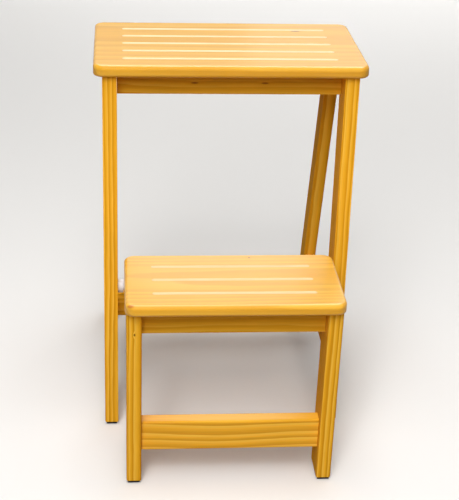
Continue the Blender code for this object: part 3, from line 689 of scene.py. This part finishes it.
def grooves_tree():
    """Evenly spaced round grooves with round ends, cut in a tread's top, their faces given the
    grooves' painted highlight.
    """
    tree, given, add = new_tree("grooves", [
        ("Middle", "Vector"), ("Count", "Int"), ("Pitch", "Float"),
        ("Reach", "Float"), ("Width", "Float"), ("Depth", "Float"),
        ("Material", "Material"),
    ])

    # A groove's floor is part of a circle, whose radius follows from its width and depth
    half = add("ShaderNodeMath", {0: given["Width"], 1: 0.5}, operation="MULTIPLY")
    wide = add("ShaderNodeMath", {0: half, 1: half}, operation="MULTIPLY")
    square = add(
        "ShaderNodeMath", {0: given["Depth"], 1: given["Depth"], 2: wide},
        operation="MULTIPLY_ADD",
    )
    twice = add("ShaderNodeMath", {0: given["Depth"], 1: 2}, operation="MULTIPLY")
    radius = add("ShaderNodeMath", {0: square, 1: twice}, operation="DIVIDE")
    ball = add("GeometryNodeMeshUVSphere", {
        "Segments": GROOVE_SIDES, "Rings": GROOVE_SIDES // 2, "Radius": radius,
    })
    point = add("GeometryNodeInputPosition")
    height = add("ShaderNodeSeparateXYZ", {0: point}).outputs["Z"]
    end = add("ShaderNodeMath", {0: height, 1: 0}, operation="GREATER_THAN")
    end = add("ShaderNodeMapRange", {"Value": end, "To Min": -1, "To Max": 1})
    stretch = add("ShaderNodeMath", {0: end, 1: given["Reach"]}, operation="MULTIPLY")
    shift = add("ShaderNodeCombineXYZ", {"Z": stretch})
    cutter = add("GeometryNodeSetPosition", {"Geometry": ball, "Offset": shift})
    last = add("ShaderNodeMath", {0: given["Count"], 1: 1}, operation="SUBTRACT")
    span = add("ShaderNodeMath", {0: last, 1: given["Pitch"]}, operation="MULTIPLY")
    first = add("ShaderNodeMath", {0: span, 1: -0.5}, operation="MULTIPLY")
    above = add("ShaderNodeMath", {0: radius, 1: given["Depth"]}, operation="SUBTRACT")
    start = add("ShaderNodeCombineXYZ", {"Y": first, "Z": above})
    start = add("ShaderNodeVectorMath", {0: given["Middle"], 1: start}, operation="ADD")
    pitch = add("ShaderNodeCombineXYZ", {"Y": given["Pitch"]})
    line = add(
        "GeometryNodeMeshLine",
        {"Count": given["Count"], "Start Location": start, "Offset": pitch}, mode="OFFSET",
    )
    cutters = add(
        "GeometryNodeInstanceOnPoints",
        {"Points": line, "Instance": cutter, "Rotation": (0, math.pi / 2, 0)},
    )
    cutters = add("GeometryNodeRealizeInstances", {0: cutters})
    cutters = add("GeometryNodeSetMaterial", {"Geometry": cutters, "Material": given["Material"]})
    grooved = add(
        "GeometryNodeMeshBoolean", {"Mesh 1": given["Geometry"], "Mesh 2": cutters},
        operation="DIFFERENCE", solver="EXACT",
    )
    painted_groove_highlight = add("GeometryNodeMaterialSelection", {"Material": given["Material"]})
    close_tree(add, grooved, given, painted_groove_highlight)
    return tree


def rounded(mesh, radius, segments, limit="ANGLE"):
    """Round over a mesh's sharp edges, or those that have a share of the rounding."""
    holder = new_holder("rounding", mesh)
    edges = holder.modifiers.new("edges", "BEVEL")
    edges.limit_method = limit
    edges.width = radius
    edges.segments = segments
    edges.use_clamp_overlap = False
    return plain_mesh(holder)


def tread(name, node, body, trees, pine, painted_groove_highlight, count, pitch, margin):
    """A tread on its body: its edges are rounded over, and then its grooves are cut."""
    low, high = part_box(node)
    middle = (low + high) / 2
    width = high.x - low.x
    mesh = run_tree(trees[0], bpy.data.meshes.new(name), {
        "Width": width, "Depth": high.y - low.y, "Thickness": high.z - low.z,
        "Centre": (middle.x, middle.y, low.z), "Corner Radius": TREAD_CORNER_RADIUS,
        "Corner Points": TREAD_CORNER_POINTS, "Sole Share": SOLE_EDGE_SHARE,
        "End Share": END_EDGE_SHARE, "Material": pine,
    })
    mesh = rounded(mesh, TREAD_EDGE_RADIUS, TREAD_EDGE_SEGMENTS, "WEIGHT")
    mesh = run_tree(trees[1], mesh, {
        "Middle": (middle.x, middle.y, high.z), "Count": count, "Pitch": pitch,
        "Reach": width / 2 - margin - GROOVE_WIDTH / 2,
        "Width": GROOVE_WIDTH, "Depth": GROOVE_DEPTH, "Material": painted_groove_highlight,
    })
    mesh = rounded(mesh, GROOVE_RIM, GROOVE_RIM_SEGMENTS)
    add_piece(name, smoothed(mesh), body, [node])


def screws_tree():
    """Wood screws seen from below: a pan head with a cross recess and a tapering shank."""
    tree, given, add = new_tree("wood_screws", [
        ("Length", "Float"), ("Head Radius", "Float"), ("Head Height", "Float"),
        ("Chamfer", "Float"), ("Shank Radius", "Float"), ("Recess Length", "Float"),
        ("Recess Width", "Float"), ("Recess Depth", "Float"), ("Material", "Material"),
    ])
    face = add(
        "ShaderNodeMath", {0: given["Head Radius"], 1: given["Chamfer"]}, operation="SUBTRACT"
    )
    crown = add("GeometryNodeMeshCone", {
        "Vertices": SMALL_SIDES, "Radius Bottom": face, "Radius Top": given["Head Radius"],
        "Depth": given["Chamfer"],
    })
    seat = add(
        "ShaderNodeMath", {0: given["Head Height"], 1: given["Chamfer"]}, operation="SUBTRACT"
    )
    band = add("GeometryNodeMeshCone", {
        "Vertices": SMALL_SIDES, "Radius Bottom": given["Head Radius"],
        "Radius Top": given["Head Radius"], "Depth": seat,
    })
    lift = add("ShaderNodeCombineXYZ", {"Z": given["Chamfer"]})
    band = add("GeometryNodeTransform", {"Geometry": band, "Translation": lift})
    shank = add("GeometryNodeMeshCone", {
        "Vertices": SMALL_SIDES, "Radius Bottom": given["Shank Radius"],
        "Radius Top": given["Recess Width"], "Depth": given["Length"],
    })
    body = add(
        "GeometryNodeMeshBoolean", {"Mesh 2": [crown, band, shank]},
        operation="UNION", solver="EXACT",
    )
    twice = add("ShaderNodeMath", {0: given["Recess Depth"], 1: 2}, operation="MULTIPLY")
    size = add(
        "ShaderNodeCombineXYZ",
        {"X": given["Recess Length"], "Y": given["Recess Width"], "Z": twice},
    )
    bar = add("GeometryNodeMeshCube", {"Size": size})
    crossing = add("GeometryNodeTransform", {"Geometry": bar, "Rotation": (0, 0, math.pi / 2)})
    recessed = add(
        "GeometryNodeMeshBoolean", {"Mesh 1": body, "Mesh 2": [bar, crossing]},
        operation="DIFFERENCE", solver="EXACT",
    )
    row = add("GeometryNodeInstanceOnPoints", {"Points": given["Geometry"], "Instance": recessed})
    close_tree(add, row, given)
    return tree


def foot_pads_tree():
    """Rubber pads: a slab with a row of cross ribs on its sole."""
    tree, given, add = new_tree("foot_pads", [
        ("Width", "Float"), ("Depth", "Float"), ("Thickness", "Float"), ("Rib Height", "Float"),
        ("Rib Width", "Float"), ("Rib Pitch", "Float"), ("Rib Sink", "Float"),
        ("Material", "Material"),
    ])
    height = add(
        "ShaderNodeMath", {0: given["Thickness"], 1: given["Rib Height"]}, operation="SUBTRACT"
    )
    size = add("ShaderNodeCombineXYZ", {"X": given["Width"], "Y": given["Depth"], "Z": height})
    slab = add("GeometryNodeMeshCube", {"Size": size})
    lift = add(
        "ShaderNodeMath", {0: height, 1: 0.5, 2: given["Rib Height"]}, operation="MULTIPLY_ADD"
    )
    lift = add("ShaderNodeCombineXYZ", {"Z": lift})
    slab = add("GeometryNodeTransform", {"Geometry": slab, "Translation": lift})

    height = add("ShaderNodeMath", {0: given["Rib Height"], 1: given["Rib Sink"]}, operation="ADD")
    width = add("ShaderNodeMath", {0: given["Width"], 1: given["Rib Width"]}, operation="SUBTRACT")
    size = add("ShaderNodeCombineXYZ", {"X": width, "Y": given["Rib Width"], "Z": height})
    rib = add("GeometryNodeMeshCube", {"Size": size})
    room = add("ShaderNodeMath", {0: given["Depth"], 1: given["Rib Pitch"]}, operation="SUBTRACT")
    steps = add("ShaderNodeMath", {0: room, 1: given["Rib Pitch"]}, operation="DIVIDE")
    steps = add("ShaderNodeMath", {0: steps}, operation="FLOOR")
    count = add("ShaderNodeMath", {0: steps, 1: 1}, operation="ADD")
    span = add("ShaderNodeMath", {0: steps, 1: given["Rib Pitch"]}, operation="MULTIPLY")
    first = add("ShaderNodeMath", {0: span, 1: -0.5}, operation="MULTIPLY")
    middle = add("ShaderNodeMath", {0: height, 1: 0.5}, operation="MULTIPLY")
    start = add("ShaderNodeCombineXYZ", {"Y": first, "Z": middle})
    pitch = add("ShaderNodeCombineXYZ", {"Y": given["Rib Pitch"]})
    line = add(
        "GeometryNodeMeshLine", {"Count": count, "Start Location": start, "Offset": pitch},
        mode="OFFSET",
    )
    ribs = add("GeometryNodeInstanceOnPoints", {"Points": line, "Instance": rib})
    ribs = add("GeometryNodeRealizeInstances", {0: ribs})
    pad = add(
        "GeometryNodeMeshBoolean", {"Mesh 2": [slab, ribs]}, operation="UNION", solver="EXACT"
    )
    pads = add("GeometryNodeInstanceOnPoints", {"Points": given["Geometry"], "Instance": pad})
    close_tree(add, pads, given)
    return tree


def set_of(name, nodes, body, tree, values):
    """One body's screws or pads, one at the foot of each node's middle."""
    spots = []
    for node in nodes:
        low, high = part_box(node)
        spots.append(((low.x + high.x) / 2, (low.y + high.y) / 2, low.z))
    mesh = bpy.data.meshes.new(name)
    mesh.from_pydata(spots, [], [])
    add_piece(name, smoothed(run_tree(tree, mesh, values)), body, nodes)


def hexagon(width, height, start):
    """A hexagonal prism of a width across its flats, from a height up."""
    body = bmesh.new()
    radius = width / 2 / math.cos(math.pi / 6)
    bmesh.ops.create_cone(
        body, cap_ends=True, segments=6, radius1=radius, radius2=radius, depth=height,
        matrix=Matrix.Translation((0, 0, start + height / 2)),
    )
    return mesh_of(body, "hexagon")


def combined(mesh, operation, other):
    """One solid cut by or limited to another."""
    holder = new_holder("combining", mesh)
    tool = new_holder("tool", other)
    change = holder.modifiers.new("combine", "BOOLEAN")
    change.operation = operation
    change.object = tool
    result = plain_mesh(holder)
    bpy.data.objects.remove(tool)
    return result


def add_on_axle(name, label, mesh, inner, material, nodes):
    """Add a piece made along Z to a side's pivot, its lower end at a distance from the middle."""
    turn = Matrix.Rotation(SIDES[label] * math.pi / 2, 4, "Y")
    mesh.transform(Matrix.Translation((SIDES[label] * inner, PIVOT.y, PIVOT.z)) @ turn)
    mesh.materials.append(material)
    nodes = [node + label for node in nodes]
    add_piece(name + label, smoothed(mesh), "stool_frame", nodes)


def reach_of(node):
    """Least and greatest distance of a pivot piece from the stool's middle, and its radius."""
    low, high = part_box(node)
    return min(abs(low.x), abs(high.x)), max(abs(low.x), abs(high.x)), (high.z - low.z) / 2


def pivot_bolt(label, steel):
    """A button-head bolt with a hexagon socket, its thread showing past the nut."""
    near, far, radius = reach_of("pivot_bolt_" + label)
    length = far - near
    neck = length - BOLT_HEAD_HEIGHT
    profile = [(0, length)]
    for index in range(1, BUTTON_POINTS + 1):
        angle = math.pi / 2 * index / BUTTON_POINTS
        profile.append((
            radius * (BUTTON_SHARE + (1 - BUTTON_SHARE) * math.sin(angle)),
            length - BOLT_HEAD_HEIGHT * BUTTON_RISE_SHARE * (1 - math.cos(angle)),
        ))
    profile += [(radius, neck), (BOLT_RADIUS, neck)]
    for index in range(THREAD_TURNS, 0, -1):
        profile.append((BOLT_RADIUS, index * THREAD_PITCH))
        profile.append((BOLT_RADIUS - THREAD_DEPTH, (index - 0.5) * THREAD_PITCH))
    profile += [(BOLT_RADIUS - THREAD_DEPTH, 0), (0, 0)]
    socket = hexagon(SOCKET_WIDTH, SOCKET_DEPTH + OVERRUN, length - SOCKET_DEPTH)
    mesh = combined(turned_mesh(profile), "DIFFERENCE", socket)
    add_on_axle("bolt_", label, mesh, near, steel, ["pivot_bolt_"])


def pivot_spacer(label, nylon):
    """A flanged nylon spacer with softened rims."""
    near, far, radius = reach_of("pivot_spacer_" + label)
    length = far - near
    ledge = length - FLANGE_LENGTH
    hole = BOLT_RADIUS + BORE_PLAY
    profile = [(hole, length)]
    for centre, quarter in ((length - FLANGE_ROUND, 1), (ledge + FLANGE_ROUND, 0)):
        for index in range(FLANGE_POINTS + 1):
            angle = math.pi / 2 * (quarter - index / FLANGE_POINTS)
            profile.append((
                radius - FLANGE_ROUND * (1 - math.cos(angle)),
                centre + FLANGE_ROUND * math.sin(angle),
            ))
    profile += [(HUB_RADIUS, ledge), (HUB_RADIUS, 0), (hole, 0)]
    mesh = turned_mesh(profile, closed=True)
    add_on_axle("spacer_", label, mesh, near, nylon, ["pivot_spacer_"])


def pivot_washer(label, steel):
    """A flat washer, its edges rolled by the punch."""
    near, far, radius = reach_of("pivot_washer_" + label)
    length = far - near
    roll = length / 4
    hole = BOLT_RADIUS + BORE_PLAY
    profile = [
        (hole, length), (radius - roll, length), (radius, length - roll), (radius, 2 * roll),
        (radius - 2 * roll, 0), (hole + roll, 0), (hole, roll),
    ]
    mesh = turned_mesh(profile, closed=True)
    add_on_axle("washer_", label, mesh, near, steel, ["pivot_washer_"])


def lock_nut(label, steel, nylon):
    """A lock nut: a chamfered hexagon, a round collar and the nylon ring inside it."""
    near, far = reach_of("pivot_nut_" + label)[:2]
    height = far - near
    corner = NUT_WIDTH / 2 / math.cos(math.pi / 6)
    hole = BOLT_RADIUS + BORE_PLAY
    profile = [
        (hole, height), (NUT_WIDTH / 2, height), (corner, height - NUT_CHAMFER),
        (corner, COLLAR_HEIGHT + NUT_CHAMFER), (NUT_WIDTH / 2, COLLAR_HEIGHT),
        (COLLAR_RADIUS, COLLAR_HEIGHT), (COLLAR_RADIUS, NUT_CHAMFER),
        (COLLAR_RADIUS - NUT_CHAMFER / 2, 0), (RING_RADIUS, 0), (RING_RADIUS, RING_DEPTH),
        (hole, RING_DEPTH),
    ]
    block = hexagon(NUT_WIDTH, height + 2 * OVERRUN, -OVERRUN)
    mesh = combined(turned_mesh(profile, closed=True), "INTERSECT", block)
    add_on_axle("lock_nut_", label, mesh, near, steel, ["pivot_nut_"])
    profile = [
        (hole, RING_DEPTH - RING_PLAY), (RING_RADIUS - RING_PLAY, RING_DEPTH - RING_PLAY),
        (RING_RADIUS - RING_PLAY, RING_PLAY), (hole, RING_PLAY),
    ]
    mesh = turned_mesh(profile, closed=True)
    add_on_axle("lock_ring_", label, mesh, near, nylon, [])


def bolt_hole(label):
    """Cutters for a pivot bolt's hole and for the counterbore of its head."""
    low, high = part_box("front_leg_" + label)
    outer = max(abs(low.x), abs(high.x))
    far, radius = reach_of("pivot_bolt_" + label)[1:]
    floor = far - BOLT_HEAD_HEIGHT - BORE_PLAY
    length = outer - floor + OVERRUN
    spot = (SIDES[label] * (floor + length / 2), PIVOT.y, PIVOT.z)
    middle = ((low.x + high.x) / 2, PIVOT.y, PIVOT.z)
    return [
        boring(spot, radius + COUNTERBORE_PLAY, length, (1, 0, 0)),
        boring(middle, BOLT_RADIUS + BORE_PLAY, high.x - low.x + OVERRUN, (1, 0, 0)),
    ]


def lean_of(node):
    """Direction in which a leg's grain runs, from its foot to its head."""
    foot, _, _, head = leaning_outline(node)
    return Vector((0, head[0] - foot[0], head[1] - foot[1])).normalized()


def make_legs():
    """The four legs of the stool and the two of the step."""
    knot = ((-0.1429, -0.2876, 0.2633), (1.6 * MM, 8 * MM, 2.6 * MM), KNOT, 2 * MM)
    rows = (
        ("front_leg_left", (-0.10, 0.02, 0.3), 4.6 * MM, ()),
        ("front_leg_right", (0.09, 0.03, 0.3), 5.2 * MM, ()),
        ("rear_leg_left", (-0.12, 0.12, 0.3), 5 * MM, ()),
        ("rear_leg_right", (0.11, 0.30, 0.3), 6 * MM, ()),
        ("step_leg_left", (-0.19, -0.20, 0.1), 4.8 * MM, [knot]),
        ("step_leg_right", (0.10, -0.21, 0.1), 4.6 * MM, ()),
    )
    for node, pith, ring_width, marks in rows:
        label = node.rsplit("_", 1)[1]
        cutters = bolt_hole(label) if node.startswith("front") else ()
        body = "swing_step" if node.startswith("step") else "stool_frame"
        # Paleness 1.12 lightens the legs' upright faces as painted light
        material = varnished_pine(
            node, lean_of(node), pith, ring_width, 0.95, 2 * MM, marks=marks, paleness_and_painted_light=1.12
        )
        leg(node, body, material, cutters)


def stretcher_outline():
    """Outline of the step's stretcher, which leans with the step's legs."""
    low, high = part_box("step_stretcher")
    middle = ((low + high) / 2).yz
    direction = lean_of("step_leg_left")
    turn = Matrix.Rotation(math.atan2(-direction.y, direction.z), 2)
    corners = ((-0.5, -0.5), (0.5, -0.5), (0.5, 0.5), (-0.5, 0.5))
    return [
        tuple(middle + turn @ Vector((across * STRETCHER_THICKNESS, up * STRETCHER_HEIGHT)))
        for across, up in corners
    ]


def make_boards():
    """Aprons, stretchers and rails."""
    along = (1, 0, 0)
    reach = (6 * MM, 8 * MM, 1.6 * MM)
    knots = [((x, -0.0671, 0.565), reach, FAINT_KNOT, 1 * MM) for x in (-0.052, 0.052)]
    # Each row's paleness is partly painted shade and light: 0.87 and 0.9 darken the aprons in the
    # treads' shade, and 1.15 lightens the rest rail in its shade behind the step
    rows = (
        ("front_apron", "stool_frame", (0, -0.12, 0.52), 0.87, "seat_screw_front_", knots),
        ("rear_apron", "stool_frame", (0, 0.20, 0.50), 1, "seat_screw_rear_", ()),
        ("step_apron", "swing_step", (0, -0.33, 0.24), 0.9, "step_screw_front_", ()),
        ("step_rear_apron", "swing_step", (0, -0.05, 0.22), 1, "step_screw_rear_", ()),
        ("step_rest_rail", "stool_frame", (0, 0.14, 0.09), 1.15, "", ()),
    )
    for node, body, pith, paleness_and_painted_light, screw, marks in rows:
        material = varnished_pine(node, along, pith, RING_WIDTH, 0.6, marks=marks, paleness_and_painted_light=paleness_and_painted_light)
        screws = [screw + label for label in SIDES if screw]
        cross_board(node, body, material, screws=screws)
    dip = ((-0.02, -0.27, 0.08), (45 * MM, 60 * MM, 30 * MM), "", -5 * MM)
    # Paleness 1.15 lightens the low stretcher as painted light
    material = varnished_pine(
        "step_stretcher", along, (0, -0.25, 0.19), 13 * MM, 0.8, 3 * MM, STRETCHER_COAT, [dip], 1.15
    )
    cross_board("step_stretcher", "swing_step", material, outline=stretcher_outline())
    for label, side in SIDES.items():
        for node, pith in (
            ("side_apron_", (side * 0.24, 0, 0.52)), ("side_stretcher_", (side * 0.12, 0, 0.09)),
        ):
            side_board(node + label, varnished_pine(node + label, (0, 1, 0), pith, RING_WIDTH))
        node = "step_side_rail_" + label
        material = varnished_pine(node, (0, 1, 0), (side * 0.18, -0.1, 0.2), 6 * MM)
        side_rail(node, "step_leg_" + label, material)


def make_treads():
    """The seat and the step's tread."""
    trees = (tread_tree(), grooves_tree())
    painted_groove_highlight = groove_painted_highlight()
    knot = ((0.1123, 0.0803, 0.603), (8 * MM, 2.6 * MM, 8 * MM), KNOT, 6 * MM)
    # Paleness 0.89 darkens the seat as painted shade against its strong top light
    pine = varnished_pine(
        "seat", (1, 0, 0), (0.1, 0.06, 0.46), 12 * MM, 0.4, 6 * MM, SEAT_COAT, [knot], 0.89
    )
    tread(
        "seat_board", "top_tread", "stool_frame", trees, pine, painted_groove_highlight,
        SEAT_GROOVES, SEAT_GROOVE_PITCH, SEAT_GROOVE_MARGIN,
    )
    marks = [
        ((-0.151, -0.2985, 0.3155), (8 * MM, 4 * MM, 3 * MM), WORN_CORNER, 0),
        ((0.03, -0.1442, 0.317), (1.6 * MM, 2 * MM, 3 * MM), KNOT, 1 * MM),
        ((0.118, -0.204, 0.317), (9 * MM, 3 * MM, 6 * MM), WARM_PATCH, 3 * MM),
    ]
    pine = varnished_pine(
        "step", (1, 0, 0), (0.1, -0.21, 0.23), 8 * MM, 0.4, 6 * MM, STEP_COAT, marks, 0.96
    )
    tread(
        "step_board", "step_tread", "swing_step", trees, pine, painted_groove_highlight,
        STEP_GROOVES, STEP_GROOVE_PITCH, STEP_GROOVE_MARGIN,
    )


def make_fittings():
    """Screws, foot pads, pivot hardware, and the dowels and bushes inside the wood."""
    steel = zinc_plated_steel()
    nylon = moulded_nylon()
    rubber = moulded_rubber()
    beech = bare_beech()
    tree = screws_tree()
    low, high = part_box("seat_screw_front_left")
    values = {
        "Length": high.z - low.z, "Head Radius": (high.x - low.x) / 2,
        "Head Height": SCREW_HEAD_HEIGHT, "Chamfer": SCREW_CHAMFER, "Shank Radius": SCREW_RADIUS,
        "Recess Length": RECESS_LENGTH, "Recess Width": RECESS_WIDTH, "Recess Depth": RECESS_DEPTH,
        "Material": steel,
    }
    for kind, body in (("seat", "stool_frame"), ("step", "swing_step")):
        rows = ("front", "rear")
        nodes = [f"{kind}_screw_{row}_{label}" for row in rows for label in SIDES]
        set_of(kind + "_screws", nodes, body, tree, values)
    tree = foot_pads_tree()
    for kind, body in (("front", "stool_frame"), ("rear", "stool_frame"), ("step", "swing_step")):
        nodes = [f"{kind}_foot_pad_{label}" for label in SIDES]
        low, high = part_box(nodes[0])
        values = {
            "Width": high.x - low.x, "Depth": high.y - low.y, "Thickness": high.z - low.z,
            "Rib Height": PAD_RIB_HEIGHT, "Rib Width": PAD_RIB_WIDTH, "Rib Pitch": PAD_RIB_PITCH,
            "Rib Sink": PAD_RIB_SINK, "Material": rubber,
        }
        set_of(kind + "_foot_pads", nodes, body, tree, values)
    for label in SIDES:
        pivot_bolt(label, steel)
        pivot_spacer(label, nylon)
        pivot_washer(label, steel)
        lock_nut(label, steel, nylon)
    for node, part in frame["nodes"].items():
        if "dowel" in node:
            part.material_slots[0].material = beech
        elif "bush" in node:
            part.material_slots[0].material = nylon


# Studio: a pale floor, a white room and soft lamps. Each lamp has its place, the point
# that it faces, its width and height, and its power. Some light the wood, and the bright
# panels behind only show as the shine of its varnish.
FLOOR_SIZE = 8
FLOOR_SEEN = "F7F5F2"
FLOOR_BOUNCE = "8C7A62"
ROOM_LIGHT = 0.08
LAMPS = (
    ("key", (-0.6, -3.3, 3.0), (0, -0.1, 0.35), (1.4, 2.2), 92),
    ("front_fill", (-0.5, -3.6, 2.6), (0, -0.1, 0.3), (2.6, 3), 26),
    ("high_front", (-0.4, -1.9, 3.6), (0, -0.1, 0.35), (1.6, 2), 46),
    ("back_fill", (0.8, 3.4, 1.3), (0, 0, 0.35), (3.6, 1.4), 45),
    ("skylight", (0, -0.35, 2.9), (0, -0.1, 0.45), (1.4, 0.8), 24),
)
SHINE_PANELS = (
    ("back_panel", (0.3, 3.0, 3.3), (0, -0.1, 0.45), (3, 2.4), 84),
    ("low_panel", (0.3, 3.5, 2.2), (0, -0.2, 0.32), (2.8, 0.55), 8.5),
    ("right_panel", (1.35, 3.5, 1.55), (0, 0, 0.6), (2, 0.7), 4),
    ("high_panel", (0.2, 1.2, 3.6), (0, -0.1, 0.45), (3, 1.6), 165),
)


def seen_directly(add):
    """One where a ray comes from the camera, a reflection or through a clear thing."""
    rays = add("ShaderNodeLightPath").outputs
    either = add(
        "ShaderNodeMath", {0: rays["Is Camera Ray"], 1: rays["Is Glossy Ray"]},
        operation="MAXIMUM",
    )
    return add("ShaderNodeMath", {0: either, 1: rays["Is Transmission Ray"]}, operation="MAXIMUM")


def make_floor():
    """A plain painted floor, which looks paler than the light that it throws back."""
    material, add = new_material("painted_floor")
    colour = add(
        "ShaderNodeMix",
        {"Factor": seen_directly(add), 6: linear(FLOOR_BOUNCE), 7: linear(FLOOR_SEEN)},
        data_type="RGBA",
    )
    end_material(add, {"Base Color": colour, "Roughness": 0.9, "Specular IOR Level": 0.1})
    body = bmesh.new()
    bmesh.ops.create_grid(body, x_segments=1, y_segments=1, size=FLOOR_SIZE / 2)
    mesh = mesh_of(body, "floor")
    mesh.materials.append(material)
    new_holder("floor", mesh)


def make_light():
    """Even light from the room, and the soft lamps."""
    world = bpy.data.worlds.new("room")
    bpy.context.scene.world = world
    world.use_nodes = True
    world.node_tree.nodes.clear()
    add = partial(add_node, world.node_tree)
    strength = add(
        "ShaderNodeMapRange", {"Value": seen_directly(add), "To Min": ROOM_LIGHT, "To Max": 1}
    )
    background = add("ShaderNodeBackground", {"Color": (1, 1, 1, 1), "Strength": strength})
    add("ShaderNodeOutputWorld", {"Surface": background})
    for name, spot, target, (width, height), power in LAMPS + SHINE_PANELS:
        light = bpy.data.lights.new(name, "AREA")
        light.shape = "RECTANGLE"
        light.size = width
        light.size_y = height
        light.energy = power
        lamp = bpy.data.objects.new(name, light)
        lamp.location = spot
        lamp.rotation_euler = (Vector(spot) - Vector(target)).to_track_quat("Z", "Y").to_euler()
        lamp.visible_camera = False
        lamp.visible_glossy = name.endswith("panel")
        lamp.visible_diffuse = not lamp.visible_glossy
        bpy.context.scene.collection.objects.link(lamp)


def make_camera():
    """The photograph's camera."""
    lens = bpy.data.cameras.new("camera")
    lens.sensor_width = SENSOR
    lens.lens = FOCAL_PIXELS / FRAME_HEIGHT_PIXELS * SENSOR
    camera = bpy.data.objects.new("camera", lens)
    camera.matrix_world = (
        Matrix.Translation(CAMERA_PLACE)
        @ Matrix.Rotation(-CAMERA_YAW, 4, "Z")
        @ Matrix.Rotation(math.pi / 2 - CAMERA_PITCH, 4, "X")
        @ Matrix.Rotation(CAMERA_ROLL, 4, "Z")
    )
    bpy.context.scene.collection.objects.link(camera)
    bpy.context.scene.camera = camera


make_camera()
make_light()
make_floor()
make_legs()
make_boards()
make_treads()
make_fittings()
bpy.context.scene.view_settings.view_transform = "Standard"
